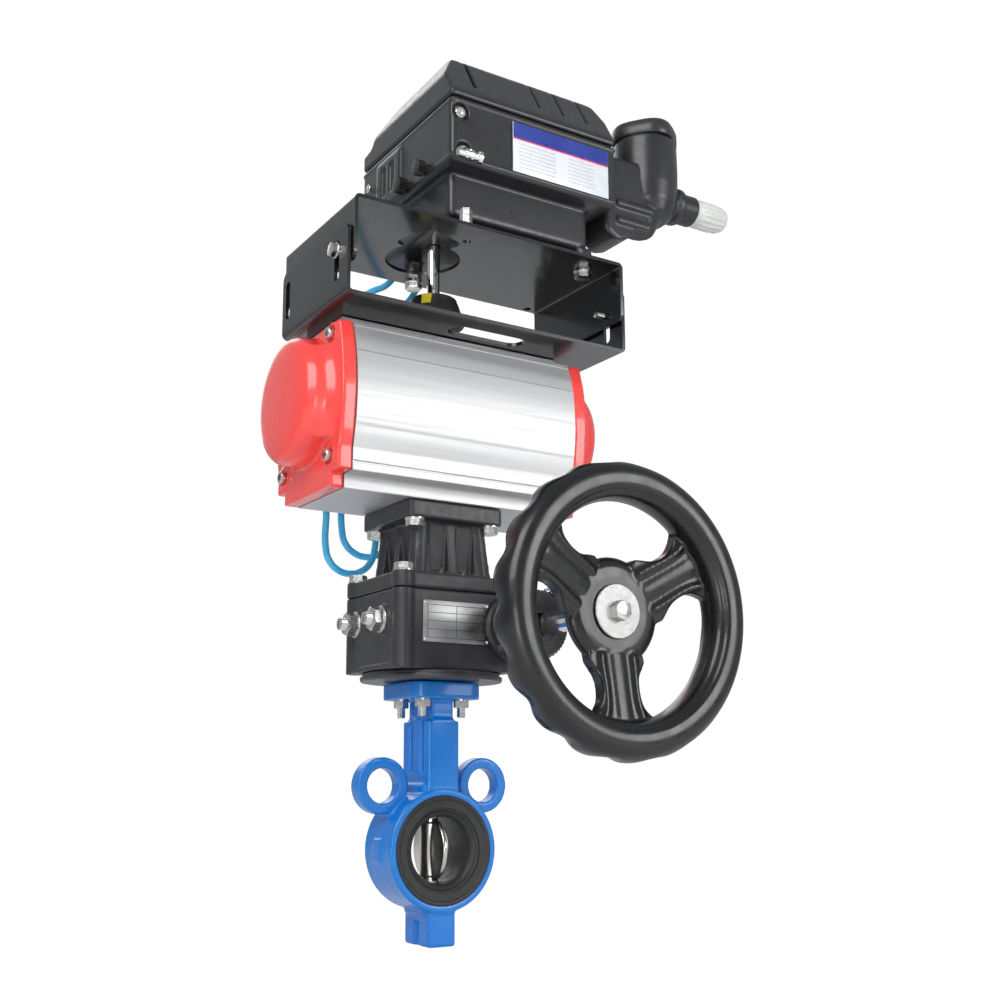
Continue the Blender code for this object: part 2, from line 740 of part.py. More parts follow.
def indicator_marker(yellow):
    made = bar("indicator_marker", (0, 0, 433.9), (0, 0, 456), 26.0, 36, 20.0)
    keep = marker_wedge("marker_form", 6.0, 445.0)
    combine(made, "INTERSECT", [keep])
    inner = bar("marker_gap", (0, 0, 430), (0, 0, 460), 14.3, 36)
    cut(made, inner)
    return finish(made, yellow)


# Bracket ------------------------------------------------------------------------------


def u_outline(left, right, bottom, top, opens_up):
    """A bent sheet's end view, web and two flanges, with round bends."""
    outer, inner = 5.0, 5.0 - SHEET
    if not opens_up:
        flipped = u_outline(left, right, -top, -bottom, True)
        return [(x, -z) for x, z in flipped]
    points = [(left, top)] + arc((left + outer, bottom + outer), outer, 180, 270, 4)
    points += arc((right - outer, bottom + outer), outer, 270, 360, 4) + [(right, top)]
    points += [(right - SHEET, top)] + arc((right - outer, bottom + outer), inner, 0, -90, 4)
    points += arc((left + outer, bottom + outer), inner, 270, 180, 4) + [(left + SHEET, top)]
    return points


def slot_cutter(x, y, low, high, width):
    """A vertical slot through a flange."""
    outline = arc((y, high), width / 2, 0, 180, 7) + arc((y, low), width / 2, 180, 360, 7)
    return slab("slot", [outline], "YZ", x - 6, x + 6)


def bracket_lower(black):
    outline = u_outline(LOWER_LEFT, LOWER_RIGHT, LOWER_BOTTOM, LOWER_TOP, True)
    made = slab("bracket_lower", [outline], "XZ", LOWER_FRONT, LOWER_BACK)
    cut(made, bar("pinion_opening", (0, 0, 410), (0, 0, 418), 28.0, 32))
    window = slab("window", [rounded((-14, -62), (56, -42), 4)], "XY", 410, 418)
    cut(made, window)
    for x, places in ((LOWER_LEFT, ((-61, 432), (33, 432))), (LOWER_RIGHT, ((-58, 432), (33, 432)))):
        for y, low in places:
            cut(made, slot_cutter(x, y, low, 456, 8.4))
    return finish(made, black)


def bracket_upper(black):
    top = UPPER_UNDERSIDE + SHEET
    outline = u_outline(UPPER_LEFT, UPPER_RIGHT, UPPER_BOTTOM, top, False)
    made = slab("bracket_upper", [outline], "XZ", UPPER_FRONT, UPPER_BACK)
    cut(made, bar("shaft_opening", (-14, -6, 485), (-14, -6, 496), 32.0, 32))
    notch = slab("notch", [rounded((-20, -20), (20, 20), 7)], "XY", 485, 496)
    aim = Matrix.Rotation(math.radians(20), 4, "Z")
    cut(made, baked(notch, Matrix.Translation((-26 * MM, -38 * MM, 0)) @ aim))
    for x, y in ((-1, -57), (125, 41)):
        cut(made, bar("spare_hole", (x, y, 485), (x, y, 496), 3.5, 12))
    for x in (UPPER_LEFT, UPPER_RIGHT):
        for y in ((-61, 33) if x < 0 else (-58, 33)):
            cut(made, bar("side_hole", (x - 5, y, 452), (x + 5, y, 452), 3.4, 12))
    return finish(made, black)


def bracket_bolt(name, x, y, side, steel):
    """A hex bolt whose head bears on the lower bracket's flange, through both sheets."""
    face = x + side * GAP
    made = bar(name, (face, y, 452), (face + side * 5.3, y, 452), 6.3, 6)
    join(made, bar("shank", (face + side * 2, y, 452), (face - side * 14, y, 452), 3.0, 12))
    return finish(made, steel)


# Positioner ---------------------------------------------------------------------------


def positioner_body(black):
    made = block(
        "positioner_body", (CASE_LEFT, CASE_FRONT, CASE_WAIST), (CASE_RIGHT, CASE_BACK, CASE_SEAM), 3.0, 2
    )
    base = slab("base", [rounded((-20, -62), (120, 70), 8)], "XY", 506, CASE_WAIST + 2)
    join(made, base)
    for x, y in ((3, 41), (117, -57)):
        join(made, bar("foot", (x, y, 492.4), (x, y, 508), 8.0, 16))
    low = (CASE_LEFT + 6, CASE_FRONT + 6, 550)
    cut(made, block("cavity", low, (CASE_RIGHT - 6, CASE_BACK - 6, 610), 3.0))
    cut(made, block("well", (-14, -50, 514), (110, 60, 560), 4.0))
    cut(made, bar("shaft_hole", (0, 0, 500), (0, 0, 520), 6.3, 20))
    for low in (560, 576):
        cut(made, block("port", (CASE_LEFT - 1, 14, low), (CASE_LEFT + 3, 42, low + 11)))
    return finish(made, black)


def positioner_cover(black):
    profile = [(CASE_FRONT, CASE_SEAM + GAP), (CASE_FRONT, 606), (-76, 612), (-58, 647), (-53, 651)]
    profile += [(-43, 655), (40, 651), (65, 618), (CASE_BACK, 616), (CASE_BACK, CASE_SEAM + GAP)]
    made = slab("positioner_cover", [profile], "YZ", CASE_LEFT, CASE_RIGHT)
    for side, x, lean in ((-1, CASE_LEFT, 16.0), (1, CASE_RIGHT, 24.0)):
        wedge = slab(
            "wedge",
            [[(x + side * 8, 612), (x - side * lean, 660), (x + side * 30, 660), (x + side * 30, 612)]],
            "XZ",
            -100,
            100,
        )
        cut(made, wedge)
    cut(made, block("cover_hollow", (CASE_LEFT + 12, -66, CASE_SEAM - 2), (CASE_RIGHT - 16, 60, 612), 3.0))
    return finish(bevelled(made, 1.5, 1, 25.0), black)


def feedback_shaft(chrome):
    made = bar("feedback_shaft", (0, 0, 430), (0, 0, 564), 5.6, 20)
    join(made, block("tongue", (-13, -1.7, 429.4), (13, 1.7, 432.6)))
    return finish(made, chrome)


def feedback_cam(plastic):
    spiral = [
        ((11 + 10 * i / 23) * math.cos(TURN * i / 24), (11 + 10 * i / 23) * math.sin(TURN * i / 24))
        for i in range(24)
    ]
    made = slab("feedback_cam", [spiral], "XY", 555, 559)
    cut(made, bar("cam_bore", (0, 0, 553), (0, 0, 561), 5.9, 20))
    return finish(made, plastic)


def pilot_relay(aluminium):
    made = block("pilot_relay", (45, -40, 514.4), (90, 20, 546), 2.0)
    join(made, bar("relay_nozzle", (67, -10, 545), (67, -10, 556), 8.0, 16))
    return finish(made, aluminium)


def circuit_board(green):
    return finish(block("circuit_board", (0, -65, 575), (122, 65, 577)), green)


def terminal_box(black):
    at = (TERMINAL_X, TERMINAL_Y)
    made = bar("terminal_box", (*at, 583), (*at, 634), 29.0, 32)
    join(made, bar("tapered_foot", (*at, 588), (TERMINAL_X - 12, TERMINAL_Y, 545), 28.0, 28, 20.0))
    arm = [(138.3, 530), (138.3, 600), (176, 600), (200, 588), (196, 556), (176, 540), (160, 526)]
    join(made, slab("arm", [arm], "XZ", TERMINAL_Y - 20, TERMINAL_Y + 20))
    join(made, bar("boss", (TERMINAL_X, TERMINAL_Y, 583), (236, TERMINAL_Y, 583), 15.0, 20))
    return finish(made, black)


def terminal_lid(black):
    lobes = []
    for i in range(32):
        angle = TURN * i / 32
        radius = 30.0 + 1.5 * math.cos(4 * angle)
        lobes.append((TERMINAL_X + radius * math.cos(angle), TERMINAL_Y + radius * math.sin(angle)))
    return finish(bevelled(slab("terminal_lid", [lobes], "XY", 634.3, 650), 3.0), black)


def gland_body(black):
    start, end = (236.3, TERMINAL_Y, 583), (254, TERMINAL_Y, 583)
    made = bar("gland_body", start, end, 14.0, 6)
    cut(made, bar("cable_way", (235, TERMINAL_Y, 583), (256, TERMINAL_Y, 583), 6.0, 16))
    return finish(made, black)


def gland_cap(white):
    z = 583
    made = bar("gland_cap", (254.3, TERMINAL_Y, z), (299, TERMINAL_Y, z), 13.0, 24, 11.5)
    bevelled(made, 1.5)
    cut(made, bar("cable_hole", (250, TERMINAL_Y, z), (300, TERMINAL_Y, z), 6.0, 16))
    return finish(made, white)


def positioner_label(white):
    low, high = (29, CASE_FRONT - 1.1, 549), (128, CASE_FRONT - GAP, 593)
    return finish(block("positioner_label", low, high), white)


# Air tubing ---------------------------------------------------------------------------


def elbow(name, x, face, z, brass):
    """A push-in elbow: threaded into a face towards +Y, its tube leaving straight down."""
    out = face + 11.0
    made = bar(name, (x, face + GAP, z), (x, out, z), 7.5, 6)
    join(made, bar("swivel", (x, out, z + 7), (x, out, z - 17), 6.5, 16))
    cut(made, bar("tube_way", (x, out, z - 12), (x, out, z - 18), 2.4, 12))
    return finish(made, brass)


TUBE_A = [
    (14, 92, 544.7), (14, 92, 534), (12, 92, 519), (3, 92, 505),
    (-14, 92, 494), (-32, 92, 478), (-46, 91, 452), (-53, 90, 415),
    (-55, 89, 370), (-55, 89, 320), (-55, 89, 280), (-55, 89, 252),
    (-52, 88.5, 241), (-44, 88, 232.9), (-33, 87, 230), (-22, 85.5, 232.9),
    (-14, 84, 241), (-11, 82.5, 252), (-11, 80, 275), (-11.8, 77, 302),
    (-12, 75.2, 320), (-12, 75.2, 329.2),
]
TUBE_B = [
    (40, 92, 544.7), (40, 92, 534), (38, 92.5, 517), (30, 94, 499),
    (10, 97, 476), (-10, 99, 448), (-24, 100, 405), (-31, 101, 355),
    (-34, 101, 310), (-34, 101, 270), (-31, 100, 259), (-23, 98.5, 251),
    (-12, 96.5, 248), (-1, 94, 251), (7, 91, 259), (10, 88, 270),
    (11.4, 82, 295), (12, 75.8, 320), (12, 75.2, 329.2),
]


def tube(name, route, blue):
    """A free air tube: a smooth curve through its route, read every few diameters."""
    guide = bpy.data.curves.new(name + "_guide", "CURVE")
    guide.dimensions = "3D"
    spline = guide.splines.new("BEZIER")
    spline.bezier_points.add(len(route) - 1)
    for point, place in zip(spline.bezier_points, route):
        point.co = Vector(place) * MM
        point.handle_left_type = "AUTO"
        point.handle_right_type = "AUTO"
    spline.resolution_u = 2
    path = bpy.data.objects.new(name + "_guide", guide)
    CUTTERS.objects.link(path)
    depsgraph = bpy.context.evaluated_depsgraph_get()
    read = bpy.data.meshes.new_from_object(path.evaluated_get(depsgraph))
    points = [v.co.copy() for v in read.vertices]
    bpy.data.objects.remove(path)
    curve = bpy.data.curves.new(name, "CURVE")
    curve.dimensions = "3D"
    curve.bevel_depth = TUBE_RADIUS * MM
    curve.bevel_resolution = 2
    curve.use_fill_caps = True
    line = curve.splines.new("POLY")
    line.points.add(len(points) - 1)
    for point, place in zip(line.points, points):
        point.co = (*place, 1.0)
    made = bpy.data.objects.new(name, curve)
    PARTS.objects.link(made)
    bpy.context.view_layer.update()
    return finish(made, blue)


# The assembly -------------------------------------------------------------------------


def build():
    blue = material("valve_paint", (0.0, 0.12, 0.62), 0.35)
    rubber = material("rubber", (0.01, 0.01, 0.01), 0.7)
    steel = material("stainless", (0.6, 0.58, 0.55), 0.3, 1.0)
    chrome = material("chrome", (0.75, 0.75, 0.76), 0.12, 1.0)
    grey = material("gearbox_paint", (0.03, 0.03, 0.035), 0.45)
    bronze = material("bronze", (0.5, 0.3, 0.12), 0.35, 1.0)
    lacquer = material("handwheel_lacquer", (0.005, 0.005, 0.005), 0.15)
    aluminium = material("anodised_aluminium", (0.55, 0.55, 0.56), 0.35, 1.0)
    coral = material("cap_paint", (0.95, 0.06, 0.06), 0.3)
    black = material("bracket_paint", (0.004, 0.004, 0.004), 0.15)
    casing = material("positioner_paint", (0.01, 0.01, 0.012), 0.4)
    yellow = material("indicator_yellow", (0.9, 0.7, 0.02), 0.4)
    acetal = material("bearing_plastic", (0.8, 0.78, 0.7), 0.4)
    board = material("board_green", (0.02, 0.2, 0.08), 0.5)
    white = material("white_nylon", (0.8, 0.8, 0.76), 0.4)
    tubing = material("blue_polyurethane", (0.2, 0.62, 0.9), 0.25)
    silver = material("etched_plate", (0.7, 0.7, 0.7), 0.35, 1.0)

    valve_body(blue)
    valve_liner(rubber)
    stem_bush(bronze)
    disc, stem = valve_disc(steel), valve_stem(steel)
    corners = [(x * BOLT_OFFSET, y * BOLT_OFFSET) for x in (-1, 1) for y in (-1, 1)]
    for number, (x, y) in enumerate(corners, 1):
        valve_bolt(f"valve_bolt_{number}", x, y, steel)
    ride("disc_pivot", (0, 0, 0), disc, stem)

    gearbox_base_plate(grey)
    gearbox_housing(grey)
    gearbox_cover(grey)
    gearbox_nameplate(silver)
    for word, y in (("front", -STOP_Y), ("rear", STOP_Y)):
        stop_bolt(f"stop_bolt_{word}", y, steel)
        stop_nut(f"stop_nut_{word}", y, steel)
    ride("drive_pivot", (0, 0, WORM_Z), worm_segment(bronze), drive_sleeve(steel))
    sleeve_axis = (SLEEVE_AXIS_X, 0, WORM_Z)
    bush = rear_eccentric_bush(grey)
    ride("clutch_pivot", sleeve_axis, eccentric_sleeve(grey), bush, clutch_lever(chrome))
    ride("latch_slide", latch_point(-48.8), latch_pin(chrome))
    worm_axis = (WORM_X, 0, WORM_Z)
    wheel = handwheel(lacquer)
    ride("worm_pivot", worm_axis, worm_shaft(steel), wheel, hub_washer(chrome), hub_bolt(chrome))

    actuator_body(aluminium)
    for word, side in (("left", -1), ("right", 1)):
        end_cap(f"end_cap_{word}", side, coral)
        head = piston(f"piston_{word}", side, aluminium)
        seal = piston_seal(f"piston_seal_{word}", side, rubber)
        ride(f"piston_{word}_slide", (0, 0, CYLINDER_Z), head, seal)
    pinion_bush("pinion_bush_lower", 16.8, 19.7, 276, 297, acetal)
    pinion_bush("pinion_bush_upper", 14.3, 17.2, 397, 411, acetal)
    dial = position_indicator(casing)
    ride("pinion_pivot", (0, 0, CYLINDER_Z), pinion(steel), dial, indicator_marker(yellow))

    bracket_lower(black)
    bracket_upper(black)
    bracket_bolt("bracket_bolt_left", LOWER_LEFT, -61, -1, steel)
    bracket_bolt("bracket_bolt_right", LOWER_RIGHT, -58, 1, steel)

    positioner_body(casing)
    positioner_cover(casing)
    positioner_label(white)
    pilot_relay(aluminium)
    circuit_board(board)
    terminal_box(casing)
    terminal_lid(casing)
    gland_body(casing)
    gland_cap(white)
    ride("feedback_pivot", (0, 0, 500), feedback_shaft(chrome), feedback_cam(acetal))

    elbow("tube_fitting_out_1", 14, CASE_BACK, 562, steel)
    elbow("tube_fitting_out_2", 40, CASE_BACK, 562, steel)
    elbow("tube_fitting_port_a", -12, 64.2, CYLINDER_Z, steel)
    elbow("tube_fitting_port_b", 12, 64.2, CYLINDER_Z, steel)
    tube("air_tube_a", TUBE_A, tubing)
    tube("air_tube_b", TUBE_B, tubing)


build()
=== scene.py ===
"""The looks of an automated DN50 butterfly valve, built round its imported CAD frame.

Shapes are written in millimetres in the frame of the CAD part: the origin at the centre of
the valve bore, +Z up the stem, +Y along the pipe, +X along the actuator.
"""

import math

import bmesh
import bpy
from mathutils import Matrix, Vector


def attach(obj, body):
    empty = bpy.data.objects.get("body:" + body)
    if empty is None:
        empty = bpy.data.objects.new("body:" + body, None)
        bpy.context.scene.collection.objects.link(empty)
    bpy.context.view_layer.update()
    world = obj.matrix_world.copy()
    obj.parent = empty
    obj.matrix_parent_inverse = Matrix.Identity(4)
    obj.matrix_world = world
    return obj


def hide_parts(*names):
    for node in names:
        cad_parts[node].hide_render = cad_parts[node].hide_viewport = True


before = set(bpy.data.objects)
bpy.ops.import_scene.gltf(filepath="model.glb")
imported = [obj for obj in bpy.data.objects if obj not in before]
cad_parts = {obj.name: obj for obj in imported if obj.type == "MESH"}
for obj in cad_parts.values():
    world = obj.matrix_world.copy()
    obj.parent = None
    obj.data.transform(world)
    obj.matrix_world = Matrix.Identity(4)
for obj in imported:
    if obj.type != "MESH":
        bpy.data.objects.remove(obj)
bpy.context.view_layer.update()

MM = 0.001
TURN = 2 * math.pi
SIDES = (-1, 1)
FIXED = "valve_frame"
FINE = 96  # steps round the larger turned pieces
FLANGE_BOLT = 17.7  # the valve flange's bolts, from the stem along X and Y
COVER_X, COVER_Y = 47.5, 39.3  # the gearbox's corner columns
STOP_Y, STOP_Z = 22, 177
WORM_X, WORM_Z = 53.0, 173.5
SLEEVE_X = 49.5  # the eccentric sleeve that carries the worm
LEVER_Y = -78.0
WHEEL_Y = -184.0  # the middle of the handwheel's rim
PLATE_Y = -46.1
CYLINDER_Z = 346.7
CAP_INNER, CAP_OUTER = 101.6, 113.7
CAP_SCREW_Y, CAP_SCREW_ZS = 43, (296.1, 392.3)
SIDE_BOLT_Z = 452
LEFT_YS, RIGHT_YS = (-61, 33), (-58, 33)  # the bracket's side bolts
FEET = ((3, 41), (117, -57))  # the positioner's feet on the bracket
LABEL_Y = -81.0
TERMINAL_X, TERMINAL_Y, GLAND_Z = 200.0, -45.0, 583


# Camera

def linked(name, data):
    """A new object in the scene."""
    made = bpy.data.objects.new(name, data)
    bpy.context.scene.collection.objects.link(made)
    return made


camera_data = bpy.data.cameras.new("photo_camera")
camera = linked("photo_camera", camera_data)
camera.location = (-0.4941, -0.8700, 0.0587)
camera.rotation_euler = (math.radians(100.0), 0.0, math.radians(-31.4))
camera_data.lens = 44.34
camera_data.sensor_width = 36.0
camera_data.shift_x = 0.030
camera_data.shift_y = 0.0566
bpy.context.scene.camera = camera


# Shapes


def placed(name, mesh, matrix=None):
    """A new object from a mesh, moved by a matrix."""
    if matrix is not None:
        mesh.transform(matrix)
    return linked(name, mesh)


def from_bmesh(name, bm):
    mesh = bpy.data.meshes.new(name)
    bm.to_mesh(mesh)
    bm.free()
    return placed(name, mesh)


def baked(made, matrix=None):
    """The object with its modifiers applied, moved by a matrix."""
    depsgraph = bpy.context.evaluated_depsgraph_get()
    mesh = bpy.data.meshes.new_from_object(made.evaluated_get(depsgraph))
    name = made.name
    world = (matrix or Matrix.Identity(4)) @ made.matrix_world
    bpy.data.objects.remove(made)
    return placed(name, mesh, world)


def bevelled(made, width, segments=2, angle=30.0):
    """Rounds the sharp edges of an object."""
    bevel = made.modifiers.new("rounded", "BEVEL")
    bevel.width = width * MM
    bevel.segments = segments
    bevel.limit_method = "ANGLE"
    bevel.angle_limit = math.radians(angle)
    bevel.harden_normals = False
    return made


def block(name, low, high, bevel=0.0, segments=3):
    bm = bmesh.new()
    size = [(b - a) * MM for a, b in zip(low, high)]
    centre = [(a + b) / 2 * MM for a, b in zip(low, high)]
    bmesh.ops.create_cube(
        bm, size=1.0, matrix=Matrix.Translation(centre) @ Matrix.Diagonal((*size, 1.0))
    )
    made = from_bmesh(name, bm)
    return baked(bevelled(made, bevel, segments)) if bevel else made


def bar(name, start, end, radius, sides=48, end_radius=None, turn=0.0):
    """A round or many-sided bar between two points."""
    begin = Vector(start) * MM
    run = Vector(end) * MM - begin
    aim = run.to_track_quat("Z", "Y").to_matrix().to_4x4()
    bm = bmesh.new()
    bmesh.ops.create_cone(
        bm,
        cap_ends=True,
        segments=sides,
        radius1=radius * MM,
        radius2=(radius if end_radius is None else end_radius) * MM,
        depth=run.length,
        matrix=Matrix.Translation(begin + run / 2) @ aim @ Matrix.Rotation(turn, 4, "Z"),
    )
    return from_bmesh(name, bm)


def upright(name, x, y, low, high, radius, sides=48):
    return bar(name, (x, y, low), (x, y, high), radius, sides)


def aimed(start, end):
    """The matrix that takes +Z at the origin to the line from start to end."""
    run = Vector(end) - Vector(start)
    turn = run.to_track_quat("Z", "Y").to_matrix().to_4x4()
    return Matrix.Translation(Vector(start) * MM) @ turn


AXES = {
    "Z": Matrix.Identity(4),
    "X": Matrix.Rotation(math.radians(90), 4, "Y"),
    "-X": Matrix.Rotation(math.radians(-90), 4, "Y"),
    "Y": Matrix.Rotation(math.radians(-90), 4, "X"),
    "-Y": Matrix.Rotation(math.radians(90), 4, "X"),
}


def turned(name, profile, centre=(0, 0, 0), axis="Z", steps=FINE, closed=False, ripple=None):
    """A turned piece: the profile runs down its outer side, and ripple varies the radius."""
    bm = bmesh.new()
    rings = []
    for radius, height in profile:
        if radius == 0:
            rings.append([bm.verts.new((0, 0, height * MM))])
            continue
        ring = []
        for i in range(steps):
            angle = TURN * i / steps
            r = (ripple(radius, angle) if ripple else radius) * MM
            ring.append(bm.verts.new((r * math.cos(angle), r * math.sin(angle), height * MM)))
        rings.append(ring)
    pairs = list(zip(rings, rings[1:]))
    if closed:
        pairs.append((rings[-1], rings[0]))
    for upper, lower in pairs:
        for i in range(steps):
            j = (i + 1) % steps
            corners = [(upper, i), (lower, i), (lower, j), (upper, j)]
            bm.faces.new(list(dict.fromkeys(line[k % len(line)] for line, k in corners)))
    bmesh.ops.recalc_face_normals(bm, faces=bm.faces)
    made = from_bmesh(name, bm)
    if isinstance(axis, str):
        axis = Matrix.Translation(Vector(centre) * MM) @ AXES[axis]
    made.data.transform(axis)
    return made


def skinned(name, rows):
    """A closed skin through rings of points: equal end rings join, others are capped."""
    bm = bmesh.new()
    grid = [[bm.verts.new(Vector(point) * MM) for point in row] for row in rows[:-1]]
    joins = rows[0] == rows[-1]
    grid.append(grid[0] if joins else [bm.verts.new(Vector(point) * MM) for point in rows[-1]])
    for a, b in zip(grid, grid[1:]):
        for j in range(len(a)):
            k = (j + 1) % len(a)
            bm.faces.new((a[j], b[j], b[k], a[k]))
    if not joins:
        bm.faces.new(grid[0])
        bm.faces.new(list(reversed(grid[-1])))
    bmesh.ops.recalc_face_normals(bm, faces=bm.faces)
    return from_bmesh(name, bm)


def spun(degrees):
    return Matrix.Rotation(math.radians(degrees), 4, "Z")


def slab(name, outlines, plane, low, high):
    """A flat piece: closed outlines, the first outside and the rest holes, given a thickness."""
    curve = bpy.data.curves.new(name, "CURVE")
    curve.dimensions = "2D"
    curve.fill_mode = "BOTH"
    curve.extrude = (high - low) / 2 * MM
    for outline in outlines:
        spline = curve.splines.new("POLY")
        spline.points.add(len(outline) - 1)
        spline.use_cyclic_u = True
        for point, (across, up) in zip(spline.points, outline):
            point.co = (across * MM, up * MM, 0.0, 1.0)
    made = linked(name, curve)
    bpy.context.view_layer.update()
    middle = (low + high) / 2 * MM
    upright = Matrix.Rotation(math.radians(90), 4, "X")
    aims = {
        "XY": Matrix.Translation((0, 0, middle)),
        "XZ": Matrix.Translation((0, middle, 0)) @ upright,
        "YZ": Matrix.Translation((middle, 0, 0)) @ spun(90) @ upright,
    }
    flat = baked(made, aims[plane])
    bm = bmesh.new()
    bm.from_mesh(flat.data)
    bmesh.ops.remove_doubles(bm, verts=bm.verts, dist=1e-6)
    bm.to_mesh(flat.data)
    bm.free()
    return flat


def combined(target, operation, others):
    for other in others:
        step = target.modifiers.new(operation, "BOOLEAN")
        step.operation = operation
        step.object = other
    made = baked(target)
    for other in others:
        bpy.data.objects.remove(other)
    return made


def cut(target, *others):
    return combined(target, "DIFFERENCE", others)


def together(name, pieces):
    """One object holding several separate shells."""
    bm = bmesh.new()
    for piece in pieces:
        bm.from_mesh(piece.data)
        bpy.data.objects.remove(piece)
    return from_bmesh(name, bm)


def melted(made, voxel):
    remesh = made.modifiers.new("melted", "REMESH")
    remesh.mode = "VOXEL"
    remesh.voxel_size = voxel * MM
    return baked(made)


def cast(pieces, voxel, rounds, name, holes=()):
    """Shells melted into one casting with soft edges; holes are cut before it is smoothed."""
    made = melted(together(name, pieces), voxel)
    if holes:
        made = melted(cut(made, *holes), voxel)
    smooth = made.modifiers.new("softened", "SMOOTH")
    smooth.factor = 0.5
    smooth.iterations = rounds
    return baked(made)


def done(made, look, body, replaces=(), sharp=35.0):
    """Gives a piece its material and body, and hides the CAD nodes it stands for."""
    mesh = made.data
    mesh.materials.clear()
    mesh.materials.append(look)
    mesh.shade_smooth()
    if sharp:
        mesh.set_sharp_from_angle(angle=math.radians(sharp))
    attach(made, body)
    if replaces:
        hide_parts(*replaces)
    return made


# Outlines


def four(x, y):
    """The four corners of a rectangle round the origin."""
    return [(i * x, j * y) for i in SIDES for j in SIDES]


def mirrored(outline):
    """An outline closed by its mirror image across the first axis."""
    return outline + [(-y, z) for y, z in reversed(outline)]


def arc(centre, radius, start, end, count):
    steps = [math.radians(start + (end - start) * i / (count - 1)) for i in range(count)]
    return [(centre[0] + radius * math.cos(a), centre[1] + radius * math.sin(a)) for a in steps]


def circle(centre, radius, count=64):
    return arc(centre, radius, 0.0, 360.0 - 360.0 / count, count)


def rounded(low, high, radius, count=8):
    corners = (
        (high[0] - radius, high[1] - radius, 0),
        (low[0] + radius, high[1] - radius, 90),
        (low[0] + radius, low[1] + radius, 180),
        (high[0] - radius, low[1] + radius, 270),
    )
    points = []
    for x, y, start in corners:
        points += arc((x, y), radius, start, start + 90, count)
    return points


def smooth_line(points, each=6):
    """A Catmull-Rom curve through open points."""
    ends = [points[0]] + list(points) + [points[-1]]
    line = []
    for a, b, c, d in zip(ends, ends[1:], ends[2:], ends[3:]):
        for i in range(each):
            t = i / each
            weights = (
                -0.5 * t**3 + t**2 - 0.5 * t,
                1.5 * t**3 - 2.5 * t**2 + 1,
                -1.5 * t**3 + 2 * t**2 + 0.5 * t,
                0.5 * t**3 - 0.5 * t**2,
            )
            near = list(zip(weights, (a, b, c, d)))
            line.append(tuple(sum(w * p[k] for w, p in near) for k in range(2)))
    return line + [tuple(points[-1])]


# Materials


def new_node(tree, kind, **inputs):
    """A shader node with some of its inputs set."""
    node = tree.nodes.new("ShaderNode" + kind)
    for socket, value in inputs.items():
        node.inputs[socket.replace("_", " ")].default_value = value
    return node


class Look:
    """A material under construction: a Principled shader fed by noise in object space."""

    def __init__(self, name, colour, roughness, metallic=0.0, **sockets):
        self.material = bpy.data.materials.new(name)
        self.material.use_nodes = True
        self.tree = self.material.node_tree
        self.link = self.tree.links.new
        self.shader = self.tree.nodes["Principled BSDF"]
        self.colour = (*colour, 1.0)
        sockets.update(Base_Color=self.colour, Roughness=roughness, Metallic=metallic)
        for socket, value in sockets.items():
            self.shader.inputs[socket.replace("_", " ")].default_value = value
        self.coordinates = new_node(self.tree, "TexCoord")
        self.normal = None

    def noise(self, size_mm, stretch=(1, 1, 1)):
        """A noise with features about size_mm across, which stretch draws out along an axis."""
        mapping = new_node(self.tree, "Mapping", Scale=[1.0 / s for s in stretch])
        self.link(self.coordinates.outputs["Object"], mapping.inputs["Vector"])
        made = new_node(self.tree, "TexNoise", Scale=1000.0 / size_mm, Detail=4.0, Roughness=0.55)
        self.link(mapping.outputs["Vector"], made.inputs["Vector"])
        return made.outputs["Fac"]

    def ranged(self, value, low, high, start=0.3, end=0.7):
        """A socket's values from start to end, brought to low to high."""
        limits = {"From_Min": start, "From_Max": end, "To_Min": low, "To_Max": high}
        node = new_node(self.tree, "MapRange", **limits)
        self.link(value, node.inputs["Value"])
        return node.outputs["Result"]

    def blend(self, other, factor):
        """Mixes another colour into the base colour, by a factor socket."""
        node = new_node(self.tree, "Mix")
        node.data_type = "RGBA"
        base, first, second = self.shader.inputs["Base Color"], node.inputs[6], node.inputs[7]
        self.link(factor, node.inputs["Factor"])
        first.default_value = self.colour
        second.default_value = (*other, 1.0)
        if base.links:
            self.link(base.links[0].from_socket, first)
        self.link(node.outputs[2], base)
        return self

    def tint(self, other, size_mm, amount=1.0, **kind):
        """Varies the colour slowly towards another."""
        return self.blend(other, self.ranged(self.noise(size_mm, **kind), 0.0, amount))

    def worn(self, other):
        """Shows another colour along outer edges, broken up by noise."""
        geometry = new_node(self.tree, "NewGeometry")
        edge = self.ranged(geometry.outputs["Pointiness"], 0.0, 1.0, 0.53, 0.62)
        patchy = self.ranged(self.noise(3.0), 0.0, 1.0, 0.4, 0.65)
        product = new_node(self.tree, "Math")
        product.operation = "MULTIPLY"
        self.link(edge, product.inputs[0])
        self.link(patchy, product.inputs[1])
        return self.blend(other, product.outputs[0])

    def rough(self, low, high, size_mm, **kind):
        """Varies the roughness between two values."""
        value = self.ranged(self.noise(size_mm, **kind), low, high)
        self.link(value, self.shader.inputs["Roughness"])
        return self

    def bump(self, size_mm, depth_mm, strength=1.0, **kind):
        """Adds relief of a real depth, on top of what is there."""
        node = new_node(self.tree, "Bump", Strength=strength, Distance=depth_mm * MM)
        self.link(self.noise(size_mm, **kind), node.inputs["Height"])
        if self.normal:
            self.link(self.normal, node.inputs["Normal"])
        self.normal = node.outputs["Normal"]
        self.link(self.normal, self.shader.inputs["Normal"])
        return self


def gloss_paint(name, colour, other, roughness, peel, coat, edge=None, clear=0.06):
    """A sprayed gloss coat: orange peel, faint clouding and a clear top."""
    look = Look(name, colour, roughness, Coat_Weight=coat, Coat_Roughness=clear)
    look.tint(other, 40.0, 0.5).rough(roughness * 0.8, roughness * 1.35, 14.0)
    look.bump(2.2, peel, 0.5).bump(30.0, 0.15, 0.3)
    return (look.worn(edge) if edge else look).material


